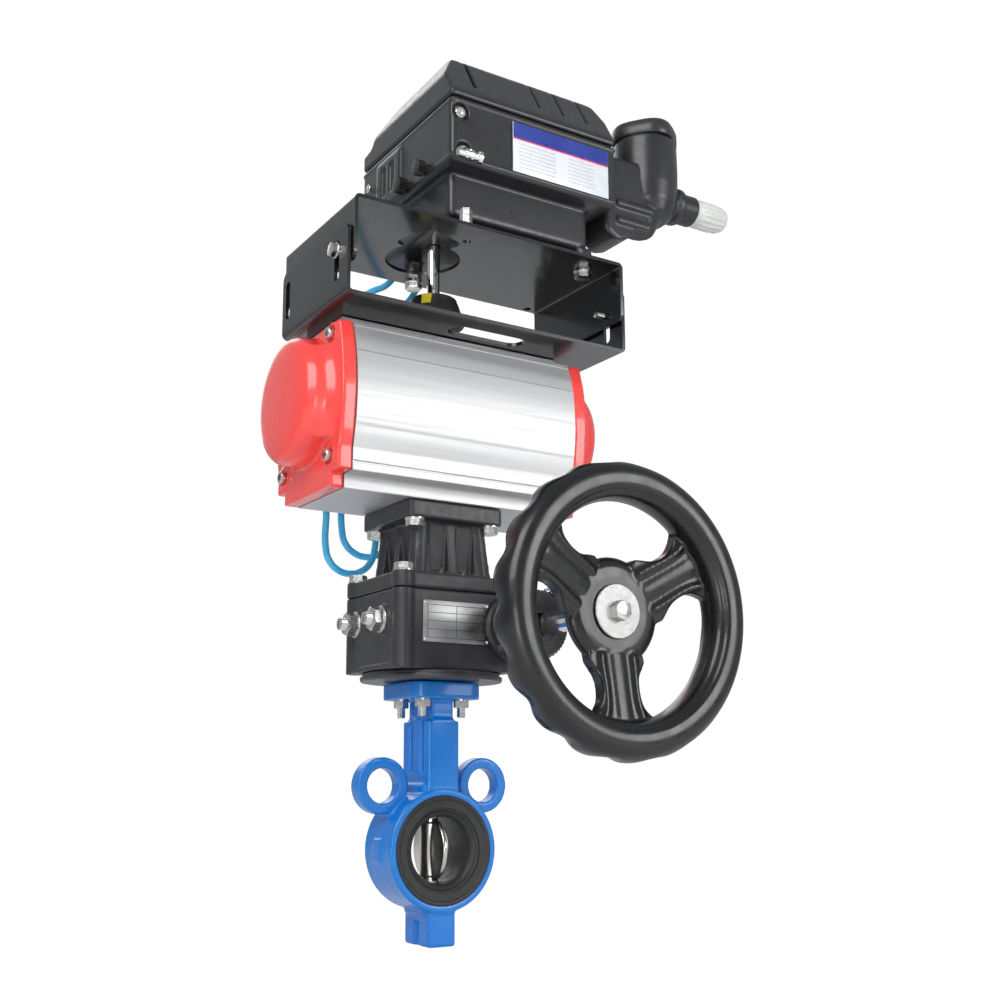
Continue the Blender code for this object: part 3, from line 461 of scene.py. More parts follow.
def cast_paint(name, colour, other, roughness, grain, depth, edge=None, **sockets):
    """Paint over a casting: fine grain, small pits and uneven gloss."""
    look = Look(name, colour, roughness, **sockets)
    look.tint(other, 25.0, 0.7).tint(tuple(c * 0.7 for c in other), 3.0, 0.25)
    look.rough(roughness * 0.8, roughness * 1.25, 6.0)
    look.bump(grain, depth, 0.6).bump(9.0, 0.12, 0.3)
    return (look.worn(edge) if edge else look).material


def metal(name, colour, other, low, high, stretch=(1, 1, 1), grain=0.8, depth=0.01):
    """Bare metal with tool marks drawn out along an axis."""
    look = Look(name, colour, low, 1.0)
    look.tint(other, 12.0, 0.6, stretch=stretch).rough(low, high, grain * 4, stretch=stretch)
    look.bump(grain, depth, 0.5, stretch=stretch)
    return look.material


def printed(name, colour, other, clouding, roughness=0.3):
    """A printed film with faint clouding."""
    look = Look(name, colour, roughness).tint(other, clouding)
    return look.rough(roughness - 0.04, roughness + 0.06, 8.0).bump(1.0, 0.004).material


def grey(level):
    return (level, level, level)


BLUE = gloss_paint(
    "valve_blue", (0.0, 0.2, 0.66), (0.0, 0.145, 0.54), 0.3, 0.05, 0.35, (0.06, 0.38, 0.88)
)
RUBBER = cast_paint("liner_rubber", grey(0.018), grey(0.03), 0.5, 0.4, 0.02)
STEEL = metal("stainless", (0.62, 0.61, 0.58), (0.5, 0.49, 0.47), 0.2, 0.36, (1, 1, 6), 0.5)
CAST_STEEL = metal(
    "polished_casting", (0.7, 0.68, 0.64), (0.5, 0.48, 0.45), 0.14, 0.3, (1, 1, 5), 1.2, 0.03
)
ZINC = metal("zinc_plate", (0.78, 0.78, 0.76), (0.6, 0.6, 0.58), 0.16, 0.34, grain=0.6)
CHROME = metal(
    "chrome", (0.82, 0.82, 0.83), (0.7, 0.7, 0.71), 0.06, 0.16, (1, 1, 8), depth=0.004
)
BRONZE = metal("bronze", (0.58, 0.36, 0.15), (0.42, 0.25, 0.1), 0.25, 0.45)
MACHINED = metal(
    "machined_aluminium", (0.66, 0.66, 0.67), (0.5, 0.5, 0.52), 0.25, 0.42, (6, 1, 1)
)
PLATE = metal("nameplate", grey(0.6), grey(0.5), 0.3, 0.42, (8, 1, 1), 0.5, 0.004)
GREY = cast_paint(
    "gearbox_grey", (0.026, 0.026, 0.028), (0.04, 0.04, 0.043), 0.42, 0.5, 0.06,
    (0.12, 0.12, 0.13), Coat_Weight=0.15, Coat_Roughness=0.25,
)
LACQUER = gloss_paint(
    "handwheel_lacquer", (0.004, 0.004, 0.0045), (0.008, 0.008, 0.009), 0.27, 0.015, 0.25
)
SHEET = gloss_paint(
    "bracket_black", (0.006, 0.006, 0.007), (0.011, 0.011, 0.012), 0.2, 0.02, 0.5,
    grey(0.05), clear=0.12,
)
CORAL = gloss_paint(
    "cap_coral", (0.96, 0.06, 0.052), (0.99, 0.09, 0.075), 0.24, 0.03, 0.6, (1.0, 0.2, 0.16)
)
CASING = cast_paint(
    "positioner_black", (0.018, 0.018, 0.02), (0.03, 0.03, 0.033), 0.34, 0.45, 0.05,
    (0.07, 0.07, 0.075), Coat_Weight=0.25, Coat_Roughness=0.2,
)
PLASTIC = cast_paint("black_plastic", grey(0.02), grey(0.03), 0.35, 0.3, 0.01)
YELLOW = gloss_paint("indicator_yellow", (0.85, 0.72, 0.02), (0.8, 0.62, 0.02), 0.3, 0.01, 0.2)
NYLON = Look("white_nylon", (0.74, 0.74, 0.7), 0.35, Subsurface_Weight=0.15)
NYLON = NYLON.tint((0.62, 0.62, 0.58), 9.0, 0.6).rough(0.28, 0.45, 4.0)
NYLON = NYLON.bump(0.8, 0.01, 0.5).material
ACETAL = Look("acetal", (0.75, 0.72, 0.62), 0.4).tint((0.65, 0.62, 0.52), 8.0)
ACETAL = ACETAL.rough(0.35, 0.5, 3.0).bump(0.5, 0.01).material
BOARD = Look("solder_mask", (0.01, 0.16, 0.06), 0.35).tint((0.02, 0.22, 0.1), 6.0)
BOARD = BOARD.rough(0.3, 0.45, 3.0).bump(1.5, 0.03).material
ALUMINIUM = Look("anodised_extrusion", (0.6, 0.6, 0.605), 0.42, 0.7)
ALUMINIUM.tint((0.52, 0.52, 0.53), 5.0, 0.6, stretch=(60, 1, 1))
ALUMINIUM.rough(0.38, 0.5, 2.0, stretch=(80, 1, 1)).bump(0.5, 0.012, 0.5, stretch=(120, 1, 1))
ALUMINIUM = ALUMINIUM.bump(0.3, 0.006, 0.4).material
TUBE = Look("blue_polyurethane", (0.06, 0.56, 1.0), 0.2, Transmission_Weight=0.08, IOR=1.45)
TUBE = TUBE.tint((0.14, 0.66, 1.0), 16.0, 0.8).rough(0.14, 0.26, 6.0)
TUBE = TUBE.bump(4.0, 0.02, 0.4).material
FILM_WHITE = printed("label_white", (0.8, 0.82, 0.86), (0.74, 0.76, 0.82), 20.0, 0.28)
FILM_BLUE = printed("label_blue", (0.02, 0.04, 0.28), (0.03, 0.06, 0.34), 15.0)
FILM_PINK = printed("label_magenta", (0.75, 0.03, 0.22), (0.65, 0.02, 0.18), 9.0)
FILM_GREY = printed("label_ruling", (0.45, 0.47, 0.52), (0.52, 0.54, 0.58), 3.0)
ETCH = Look("etched_line", (0.08, 0.08, 0.085), 0.5, 0.3).tint(grey(0.12), 4.0)
ETCH = ETCH.rough(0.45, 0.6, 2.0).bump(0.4, 0.005).material
BRUSHED = Look("turned_washer", (0.42, 0.42, 0.41), 0.42, 1.0).tint((0.33, 0.33, 0.32), 4.0, 0.8)
BRUSHED = BRUSHED.rough(0.36, 0.5, 1.5).bump(0.4, 0.02, 0.5).bump(2.0, 0.02, 0.3).material


# Fasteners


def apart(start, end):
    return (Vector(end) - Vector(start)).length


def hexagon(name, start, end, flats, chamfer=True, turn=0.0):
    """A hexagonal head or nut between two points, its outer corners chamfered to a circle."""
    corner = flats / 2 / math.cos(math.pi / 6)
    made = bar(name, start, end, corner, 6, turn=math.radians(turn))
    if not chamfer:
        return made
    length = apart(start, end)
    rim = flats / 2 * 0.96
    corner += 0.3
    drop = (corner - rim) * 0.5
    profile = [(0, length), (rim, length), (corner, length - drop), (corner, 0), (0, 0)]
    keep = turned("chamfer", profile, axis=aimed(start, end), steps=64)
    return combined(made, "INTERSECT", [keep])


def threaded(name, start, end, radius, pitch=1.2):
    """A threaded end: close rings with a chamfered tip at the end point."""
    length = apart(start, end)
    count = max(2, int(length / pitch))
    profile = [(0, length), (radius * 0.7, length)]
    for i in range(count):
        top = length - (i + 0.35) * length / count
        profile += [(radius, top), (radius * 0.88, top - 0.45 * length / count)]
    profile += [(radius, 0), (0, 0)]
    return turned(name, profile, axis=aimed(start, end), steps=32)


def washer(name, start, end, radius, bore):
    length = apart(start, end)
    soft = min(0.25, length / 3)
    profile = [(bore, length), (radius - soft, length), (radius, length - soft)]
    profile += [(radius, 0), (bore, 0)]
    return turned(name, profile, axis=aimed(start, end), steps=48, closed=True)


def along(start, direction, distance):
    return tuple(s + d * distance for s, d in zip(start, direction))


def hex_bolt(name, seat, direction, flats, height, replaces=(), shank=0.0):
    """A hex head with its washer on a seat, pointing outwards, and a threaded shank behind it."""
    thick = 1.4
    pieces = [washer("washer", seat, along(seat, direction, thick), flats * 0.62, flats * 0.3)]
    head = along(seat, direction, thick + 0.05)
    pieces.append(hexagon("head", head, along(head, direction, height), flats))
    if shank:
        ends = along(seat, direction, 1.0), along(seat, direction, -shank)
        pieces.append(threaded("shank", *ends, flats * 0.29))
    done(together(name, pieces), ZINC, FIXED, replaces, 30.0)


def cap_screw(name, seat, direction, radius, height):
    """A socket cap screw: round head with a hexagonal socket."""
    tip = along(seat, direction, height)
    soft = radius * 0.12
    profile = [(0, height), (radius - soft, height), (radius, height - soft), (radius, 0), (0, 0)]
    head = turned(name, profile, axis=aimed(seat, tip), steps=48)
    ends = along(tip, direction, -height * 0.55), along(tip, direction, 1)
    made = cut(head, bar("socket", *ends, radius * 0.58, 6))
    done(made, ZINC, FIXED, (), 30.0)


# Butterfly valve


def both_faces(half):
    """A profile and its mirror image on the other face."""
    return half + [(r, -y) for r, y in reversed(half)]


def valve_body():
    ring = both_faces(
        [(33.1, 21.4), (41.9, 21.4), (42.6, 22.4), (46.0, 22.4), (47.4, 21.0), (47.0, 15.0)]
    )
    holes = []
    for x in (-14, 14):
        for y in (-9.0, 9.0):
            holes.append(block("groove", (x - 3, y - 4, 60), (x + 3, y + 4, 104), 1.0))
        foot = x * 12 / 14
        holes.append(block("groove", (foot - 2.5, -5, -80), (foot + 2.5, 5, -54), 1.0))
    pieces = [
        turned("valve_casting", ring, axis="Y", closed=True),
        block("neck", (-14, -21.3, 36), (14, 21.3, 102), 1.5),
        block("collar", (-12, -19, 100), (12, 19, 118), 1.5),
        slab("flange", [rounded((-31, -31), (31, 31), 10)], "XY", 117.2, 130.2),
        block("post", (-12, -20, -72.8), (12, 20, -36), 2.0),
        block("lower_shoulder", (-17, -19, 34), (17, 19, 52), 4.0),
        block("foot_shoulder", (-15, -17, -50), (15, 17, -40), 3.0),
        block("side_pad", (-48.4, -7, -9), (-40, 7, 9), 1.5),
    ]
    for side in SIDES:
        at = (side * 45.5, 49.5)
        ear = slab("ear", [circle(at, 22.0), circle(at, 13.6)], "XZ", -6.7, 6.7)
        pieces.append(baked(bevelled(ear, 2.6, 3)))
        pieces.append(block("web", (side * 32 - 8, -6.2, 22), (side * 32 + 8, 6.2, 40), 2.0))
    holes += [
        bar("bore", (0, -24, 0), (0, 24, 0), 33.0, FINE),
        upright("stem", 0, 0, -46, 133, 6.7, 32),
        upright("seat", 0, 0, 98, 133, 9.6, 32),
    ]
    for x in (-45.5, 45.5):
        holes.append(bar("ear_hole", (x, -8, 49.5), (x, 8, 49.5), 13.6))
    for x, y in four(FLANGE_BOLT, FLANGE_BOLT):
        holes.append(upright("bolt_space", x, y, 100, 117.0, 8.2, 32))
        holes.append(upright("bolt_hole", x, y, 114, 133, 4.6, 24))
    made = cast(pieces, 0.85, 4, "valve_casting", holes)
    done(made, BLUE, FIXED, ["valve_body"], None)


def valve_liner():
    half = [(25.5, 15.0), (27.2, 18.6), (29.6, 19.8), (30.4, 19.2), (31.2, 19.9), (33.6, 20.6)]
    half += [(34.4, 20.0), (35.2, 20.9), (37.0, 21.6), (37.8, 21.1), (38.6, 22.2), (39.6, 22.95)]
    half += [(41.4, 22.95), (42.0, 22.4), (42.0, 21.7), (32.7, 21.7)]
    made = turned("liner_sleeve", both_faces(half), axis="Y", closed=True)
    made = cut(made, upright("hole", 0, 0, -36, 36, 6.7, 32))
    done(made, RUBBER, FIXED, ["valve_liner"], 50.0)


def valve_disc():
    profile = smooth_line([(0.001, 4.0), (10, 3.8), (20, 2.7), (24.2, 2.0)], 5)
    profile = [(0, 4.0)] + profile[1:] + [(25.0, 1.3), (25.2, 0.0)]
    profile += [(r, -x) for r, x in reversed(profile[:-1])]
    lens = turned("disc_casting", profile, axis="X")
    boss = turned("boss", both_faces([(0, 21.4), (7.8, 21.4), (8.7, 20.4)]))
    bore = upright("bore", 0, 0, -30, 30, 6.55, 32)
    made = cast([lens, boss], 0.55, 3, "disc_casting", [bore])
    done(made, CAST_STEEL, "disc", ["valve_disc"], None)


def valve_bolts():
    for number, (x, y) in enumerate(four(FLANGE_BOLT, FLANGE_BOLT), 1):
        pieces = [
            washer("washer", (x, y, 117.0), (x, y, 116.0), 6.6, 4.2),
            hexagon("nut", (x, y, 115.9), (x, y, 110.6), 11.0, turn=15),
            threaded("stud", (x, y, 136), (x, y, 102.8), 3.6),
        ]
        made = together(f"valve_stud_{number}", pieces)
        done(made, ZINC, FIXED, [f"valve_bolt_{number}"], 30.0)


# Gearbox


def base_plate():
    profile = [(12.8, 137.8), (54.5, 137.8), (55.5, 137.2), (55.5, 135.4), (57.4, 135.0)]
    profile += [(57.6, 134.2), (57.6, 132.6), (56.8, 131.2), (12.8, 131.2)]
    made = turned("gearbox_foot", profile, closed=True)
    done(made, GREY, FIXED, ["gearbox_base_plate"], 40.0)


def case_shell(low, high):
    pieces = [block("case", (-54, -45.8, low), (54, 45.8, high), 1.0)]
    pieces += [upright("column", x, y, low, high, 9.0) for x, y in four(COVER_X, COVER_Y)]
    return pieces


def gearbox_housing():
    pieces = case_shell(138.2, 200.5)
    pieces.append(block("chamber", (46, -38, 150), (75, 38, 196), 9.0, 5))
    pieces.append(bar("boss", (SLEEVE_X, -48.4, WORM_Z), (SLEEVE_X, 48.4, WORM_Z), 22.6, 64))
    for y in (-STOP_Y, STOP_Y):
        pieces.append(bar("stop_boss", (-50, y, STOP_Z), (-57.0, y, STOP_Z), 11.5))
    pieces.append(block("foot_rail", (-55.5, -44, 138.2), (55.5, 44, 143), 1.5))
    holes = [
        upright("chamber", 0, 0, 155, 203, 38.3, 64),
        bar("tunnel", (SLEEVE_X, -50, WORM_Z), (SLEEVE_X, 50, WORM_Z), 20.3, 64),
        upright("bearing", 0, 0, 136, 158, 12.8),
    ]
    for y in (-STOP_Y, STOP_Y):
        holes.append(bar("stop_hole", (-60, y, STOP_Z), (-22, y, STOP_Z), 5.4, 32))
    made = cast(pieces, 0.85, 3, "gearbox_case", holes)
    done(made, GREY, FIXED, ["gearbox_housing"], None)


def gearbox_cover():
    pieces = case_shell(200.9, 213.5)
    ends, root = ((0, 0, 211.7), (0, 0, 259.7)), math.sqrt(2)
    pieces.append(bar("yoke", *ends, 35.6 * root, 4, 30.4 * root, math.radians(45)))
    top = slab("top", [rounded((-43.4, -41.4), (43.4, 41.4), 4)], "XY", 257.8, 271.5)
    pieces.append(baked(bevelled(top, 1.0)))
    for x, y in four(1, 1):
        pieces.append(bar("corner", (x * 29, y * 29, 212), (x * 25.5, y * 25.5, 259), 7.5, 40))
    holes = [
        upright("bore", 0, 0, 209.5, 273, 22.0, 64),
        upright("bearing", 0, 0, 198, 214, 12.8),
    ]
    pivot = Matrix.Translation((0, -0.033, 0.237))
    lean = pivot @ Matrix.Rotation(math.radians(6.0), 4, "X") @ pivot.inverted()
    for quarter in range(4):
        for side in SIDES:
            rib = bar("rib", (side * 10.5, -35.6, 212), (side * 9.45, -31.0, 259), 2.0, 16)
            low, high = sorted((side * 4.0, side * 20.5))
            pocket = block("pocket", (low, -37.5, 217.5), (high, -28.6, 256.5), 1.5)
            pocket.data.transform(lean)
            for made in (rib, pocket):
                made.data.transform(spun(quarter * 90))
            pieces.append(rib)
            holes.append(pocket)
    made = cast(pieces, 0.85, 3, "gearbox_yoke", holes)
    done(made, GREY, FIXED, ["gearbox_cover"], None)
    for i, (x, y) in enumerate(four(COVER_X, COVER_Y)):
        hex_bolt(f"cover_bolt_{i}", (x, y, 213.6), (0, 0, 1), 13.0, 5.2)
    for i, (x, y) in enumerate(four(34.5, 33.5)):
        hex_bolt(f"flange_bolt_{i}", (x, y, 257.6), (0, 0, -1), 13.0, 5.2)


def stop_screws():
    z = STOP_Z
    for word, y in (("front", -STOP_Y), ("rear", STOP_Y)):
        pieces = [
            washer("washer", (-57.2, y, z), (-59.0, y, z), 10.4, 5.3),
            hexagon("nut", (-59.1, y, z), (-67.0, y, z), 17.0, turn=8),
        ]
        made = together(f"stop_lock_nut_{word}", pieces)
        done(made, ZINC, FIXED, [f"stop_nut_{word}"], 30.0)
        screw = threaded(f"stop_screw_{word}", (-8.4, y, z), (-73, y, z), 5.0, 1.5)
        slot = block("slot", (-74, y - 0.8, 172), (-71, y + 0.8, 182))
        done(cut(screw, slot), ZINC, FIXED, [f"stop_bolt_{word}"], 30.0)


def nameplate():
    y = PLATE_Y
    plate = block("blank_nameplate", (-34, y - 1.0, 159), (26.4, y, 191.5), 0.3, 2)
    done(plate, PLATE, FIXED, ["gearbox_nameplate"], 30.0)
    lines = []
    for z in (162.5, 169.0, 175.5, 182.0, 188.0):
        lines.append(block("line", (-30, y - 1.06, z - 0.25), (22.5, y - 0.9, z + 0.25)))
    for x in (-30, -4, 22.5):
        lines.append(block("line", (x - 0.25, y - 1.06, 162.5), (x + 0.25, y - 0.9, 188.0)))
    done(together("nameplate_fields", lines), ETCH, FIXED, (), None)
    profile = [(0, 1.0), (0.8, 0.8), (1.3, 0.3), (1.4, 0), (0, 0)]
    for i, (x, z) in enumerate([(x, z) for x in (-32, 24.4) for z in (161, 189.5)]):
        rivet = turned(f"plate_rivet_{i}", profile, (x, y - 1.0, z), "-Y", 24)
        done(rivet, ZINC, FIXED, (), 40.0)


def knurled(count, *radii):
    """A ripple for turned: ridges round the parts of a profile that have these radii."""

    def ripple(radius, angle):
        return radius + (0.5 * math.cos(count * angle) if radius in radii else 0.0)

    return ripple


def clutch():
    profile = [(8.9, -30), (19.5, -30), (20.0, -30.6), (20.0, -48.8), (27.4, -48.8)]
    profile += [(28.0, -49.4), (28.0, -54.2), (27.4, -55.0), (18.2, -55.2), (17.0, -56.6)]
    profile += [(17.0, -62), (16.4, -62.5), (16.4, -65), (17.0, -65.5), (17.0, -70.4)]
    profile += [(18.2, -71.6), (25.8, -72), (27.0, -73.2), (27.0, -76), (27.0, -80)]
    profile += [(27.0, -83.0), (25.8, -84.6), (24.6, -86.6), (23.0, -87.0), (14.0, -87.0)]
    profile += [(13.2, -86.2), (10.4, -86.2), (8.9, -86.4)]
    made = turned(
        "clutch_sleeve", profile, (SLEEVE_X, 0, WORM_Z), "Y", 192, True, knurled(48, 27.0)
    )
    done(made, GREY, "clutch", ["eccentric_sleeve"], 40.0)
    lean = math.radians(27.0)
    out = (math.sin(lean), 0, math.cos(lean))
    root = (SLEEVE_X, LEVER_Y, WORM_Z)
    rod = [(0, 58), (3.5, 57.8), (6.2, 56.4), (7.0, 54), (6.6, 48), (5.6, 42), (4.4, 40.4)]
    rod += [(3.1, 39.6), (3.1, 31.0), (5.2, 30.4), (5.6, 29.0), (5.6, 27.9), (0, 27.9)]
    made = turned("clutch_handle", rod, axis=aimed(root, along(root, out, 1)), steps=40)
    done(made, CHROME, "clutch", ["clutch_lever"], 40.0)


# Handwheel


def bell(distance, width):
    """A smooth hump: 1 at its middle, near 0 beyond twice its width."""
    return math.exp(-((distance / width) ** 2))


def rim_point(theta, phi):
    """A point on the rim: theta round the wheel, phi round the section from its outside."""
    middle, wide, deep, power = 93.5, 14.3, 15.6, 0.86
    c, s = math.cos(phi), math.sin(phi)
    across = wide * math.copysign(abs(c) ** power, c)
    back = deep * math.copysign(abs(s) ** power, s)
    grip = max(0.0, math.cos(phi - math.radians(55)))
    dip = 4.6 * grip * (0.5 + 0.5 * math.cos(18 * theta)) ** 1.5
    groove = 1.3 * bell(phi - math.radians(232), 0.11)
    r = middle + across * (1 - dip / 15 - groove / 15)
    y = WHEEL_Y + back * (1 - dip / 18 - groove / 15)
    return WORM_X + r * math.cos(theta), y, WORM_Z + r * math.sin(theta)


def handwheel_rim():
    around, section = 216, 40
    rings = []
    for i in range(around + 1):
        theta = TURN * (i % around) / around
        rings.append([rim_point(theta, TURN * j / section) for j in range(section)])
    return skinned("handwheel_casting", rings)


def spoke(degrees):
    """A dished spoke: ribs along its edges, a raised middle band, and a flare at both ends."""
    inner, outer, lengths, widths = 30, 86, 44, 56
    rows = []
    for i in range(lengths + 1):
        r = inner + (outer - inner) * i / lengths
        t = (r - 20) / 66
        flare = 9.0 * bell(r - 34, 11.0) + 19.0 * bell(outer - r, 14.0)
        half = 16.0 + flare
        rib_at = 13.6 + 0.35 * flare * t
        front = -173.2 - 11.0 * t
        fade = 1 / (1 + math.exp((r - 79) * 0.6))
        row = []
        for j in range(widths + 1):
            z = half * (-1 + 2 * j / widths)
            rib = 2.3 * bell(abs(z) - rib_at, 3.0)
            band = 1.5 / (1 + math.exp((abs(z) - 5.4) * 1.1))
            row.append((r, front - (rib + band) * fade, z))
        back = front + 10.0
        row += [(r, back - 3 * (1 - abs(v)), v * half) for v in (1, 0.5, 0, -0.5, -1)]
        rows.append(row)
    made = skinned("spoke", rows)
    aim = Matrix.Rotation(-math.radians(degrees), 4, "Y")
    made.data.transform(Matrix.Translation((WORM_X * MM, 0, WORM_Z * MM)) @ aim)
    return made


def handwheel():
    def on_axis(y):
        return (WORM_X, y, WORM_Z)

    hub = [(0, -141), (16.0, -141), (17.5, -142.5), (20, -156), (30, -161), (38.4, -164.5)]
    hub += [(40.4, -168.0), (40.2, -171.0), (38.0, -173.4), (33.0, -175.4), (27.0, -175.9)]
    hub += [(21.0, -175.6), (0, -175.4)]
    pieces = [handwheel_rim(), turned("hub", hub, on_axis(0), "Y")]
    pieces += [spoke(degrees) for degrees in (-90, 30, 150)]
    bore = bar("bore", on_axis(-139), on_axis(-180), 8.9, 40)
    made = cast(pieces, 0.9, 9, "handwheel_casting", [bore])
    done(made, LACQUER, "worm", ["handwheel"], None)
    profile = [(5.2, -175.8), (19.2, -175.8), (20.0, -176.4), (20.0, -177.4), (19.4, -177.9)]
    plate = turned("wheel_washer", profile + [(5.2, -177.9)], on_axis(0), "Y", closed=True)
    done(plate, BRUSHED, "worm", ["hub_washer"])
    head = [
        hexagon("head", on_axis(-178.0), on_axis(-184.4), 13.0, turn=12),
        threaded("shank", on_axis(-178.2), on_axis(-175.2), 5.0),
    ]
    done(together("wheel_bolt", head), ZINC, "worm", ["hub_bolt"], 30.0)


# Actuator


def actuator_body():
    half = [(42.6, 272.2), (43.1, 272.7), (43.1, 282.4), (44.0, 283.3), (57.2, 283.3)]
    half += [(57.8, 283.9), (57.8, 289.0), (56.6, 289.6), (56.6, 290.8), (57.8, 291.4)]
    half.append((57.8, 300.0))
    half += smooth_line([(58.2, 302.0), (60.3, 311.0), (61.6, 318.4)], 4)
    half += smooth_line(
        [(62.0, 319.4), (63.7, 333.0), (64.2, CYLINDER_Z), (63.4, 362.0), (61.6, 376.4)], 5
    )
    half += smooth_line([(61.1, 377.2), (59.4, 386.0), (57.6, 392.0)], 4)
    half += [(56.3, 397.0), (55.3, 397.4), (55.2, 398.4), (56.0, 398.9), (55.4, 401.2)]
    half += [(54.8, 401.7), (36.4, 401.7), (35.6, 401.0), (34.8, 401.7), (34.4, 402.6)]
    half += [(34.4, 411.7), (33.8, 412.3)]
    bore = circle((0, CYLINDER_Z), 47.0, FINE)
    made = slab("actuator_extrusion", [mirrored(half), bore], "YZ", -101.2, 101.2)
    holes = [
        upright("top", 0, 0, 385, 415, 17.5),
        upright("base", 0, 0, 270, 310, 20.0),
    ]
    for x in (-12, 12):
        holes.append(bar("port", (x, 55, CYLINDER_Z), (x, 70, CYLINDER_Z), 6.6, 32))
    made = cut(made, *holes)
    done(made, ALUMINIUM, FIXED, ["actuator_body"], 18.0)


def end_cap(word, side):
    ends = sorted((side * CAP_INNER, side * CAP_OUTER))
    outline = [(43.1, 272.3), (43.1, 283.3), (57.8, 283.5), (57.8, 300.0)]
    outline += smooth_line(
        [(58.2, 302), (61.6, 318), (64.2, CYLINDER_Z), (61.6, 376), (57.6, 392)], 5
    )
    outline = mirrored(outline + [(55.4, 401.2)])
    plate = baked(bevelled(slab("plate", [outline], "YZ", *ends), 1.2, 2, 25))
    dome = smooth_line([(4, 139.95), (24, 139.4), (38, 138.2), (46, 135.6), (50.2, 130.8)], 5)
    dome = [(0, 140.0)] + dome + [(51.4, 125.0), (51.8, 112), (0, 112)]
    saddle = [(0, 130), (51.0, 130), (53.5, 122), (58.0, 117), (61.5, 114.4), (61.5, 111)]
    aim = (0, 0, CYLINDER_Z), "X" if side > 0 else "-X"
    saddle = turned("saddle", saddle + [(0, 111)], *aim)
    inner, outer = sorted((side * 109.0, side * 136.0))
    keep = block("keep", (inner, -70, 310), (outer, 70, 384), 3.0)
    pieces = [plate, turned("dome", dome, *aim), combined(saddle, "INTERSECT", [keep])]
    holes = [bar("pocket", (side * 100, 0, CYLINDER_Z), (side * 128, 0, CYLINDER_Z), 44.0, 64)]
    for y, z in [(y, z) for y in (-CAP_SCREW_Y, CAP_SCREW_Y) for z in CAP_SCREW_ZS]:
        start, end = (side * 112, y, z), (side * (CAP_OUTER + 1.2), y, z)
        pieces.append(bar("screw_boss", start, end, 9.2, 40))
        holes.append(bar("seat", (side * 112.4, y, z), (side * 120, y, z), 6.8, 40))
        name = f"cap_screw_{word}_{y}_{z:.0f}"
        cap_screw(name, (side * 112.6, y, z), (side, 0, 0), 5.0, 5.8)
    made = cast(pieces, 0.9, 4, f"cap_{word}", holes)
    done(made, CORAL, FIXED, [f"end_cap_{word}"], None)


def indicator():
    profile = [(6.3, 456.4), (19.6, 456.4), (20.3, 455.8), (20.6, 452.6), (21.6, 452.2)]
    profile += [(26.4, 437.4), (26.6, 434.4), (26.0, 433.9), (6.3, 433.9)]
    made = turned("indicator_cone", profile, closed=True)
    seat = block("seat", (15.0, -4.4, 446.6), (30.0, 4.4, 460.0))
    outline = [(15.3, 446.9), (23.0, 446.9), (21.0, 455.9), (15.3, 455.9)]
    mark = slab("indicator_mark", [outline], "XZ", -4.1, 4.1)
    for piece in (seat, mark):
        piece.data.transform(spun(225))
    done(mark, YELLOW, "pinion", ["indicator_marker"], 30.0)
    done(cut(made, seat), PLASTIC, "pinion", ["position_indicator"])


# Bracket


def u_outline(left, right, bottom, top, opens_up):
    """The bent section of a channel of 3 mm sheet."""
    outer, inner = 5.0, 2.0
    if not opens_up:
        return [(x, -z) for x, z in u_outline(left, right, -top, -bottom, True)]
    points = [(left, top)] + arc((left + outer, bottom + outer), outer, 180, 270, 10)
    points += arc((right - outer, bottom + outer), outer, 270, 360, 10) + [(right, top)]
    points += [(right - 3, top)] + arc((right - outer, bottom + outer), inner, 0, -90, 10)
    points += arc((left + outer, bottom + outer), inner, 270, 180, 10) + [(left + 3, top)]
    return points


def corner_trim(x, y, z, sign_y, sign_z, radius=7.0):
    """What is cut off a flange's corner to round it: a square less a quarter circle."""
    centre = (y - sign_y * radius, z - sign_z * radius)
    start = {(1, 1): 0, (-1, 1): 90, (-1, -1): 180, (1, -1): 270}[(sign_y, sign_z)]
    curve = arc(centre, radius, start, start + 90, 8)
    ends = [(y + sign_y, curve[0][1]), (curve[-1][0], z + sign_z)]
    if start in (90, 270):
        ends = [(curve[0][0], z + sign_z), (y + sign_y, curve[-1][1])]
    outline = [(y + sign_y, z + sign_z), ends[0]] + curve + [ends[1]]
    return slab("corner", [outline], "YZ", x - 8, x + 8)


def slot_shape(x, y):
    outline = arc((y, 456), 4.2, 0, 180, 12) + arc((y, 432), 4.2, 180, 360, 12)
    return slab("slot", [outline], "YZ", x - 6, x + 6)


def bolt_hole(x, y):
    return bar("side", (x - 5, y, SIDE_BOLT_Z), (x + 5, y, SIDE_BOLT_Z), 3.4, 24)


def channel(word, box, opens_up, holes, side_hole):
    """A bent channel: holes cut, its flanges drilled and their free corners rounded."""
    left, right, front, back, bottom, top = box
    outline = u_outline(left, right, bottom, top, opens_up)
    made = slab(f"bracket_channel_{word}", [outline], "XZ", front, back)
    free, sign_z = (top, 1) if opens_up else (bottom, -1)
    for x, places in ((left, LEFT_YS), (right, RIGHT_YS)):
        holes += [side_hole(x, y) for y in places]
        holes += [corner_trim(x, y, free, sign, sign_z) for y, sign in ((front, -1), (back, 1))]
    made = bevelled(cut(made, *holes), 0.4, 2, 40)
    done(made, SHEET, FIXED, [f"bracket_{word}"], 40.0)


def bracket_lower():
    holes = [upright("opening", 0, 0, 410, 418, 28.0, 64)]
    holes.append(slab("window", [rounded((-14, -62), (56, -42), 9.9)], "XY", 410, 418))
    channel("lower", (-119.4, 144.2, -79.7, 43.5, 412.8, 469.5), True, holes, slot_shape)
    for i, (x, y) in enumerate(four(40, 15)):
        cap_screw(f"namur_screw_{i}", (x, y, 415.9), (0, 0, 1), 4.3, 4.6)


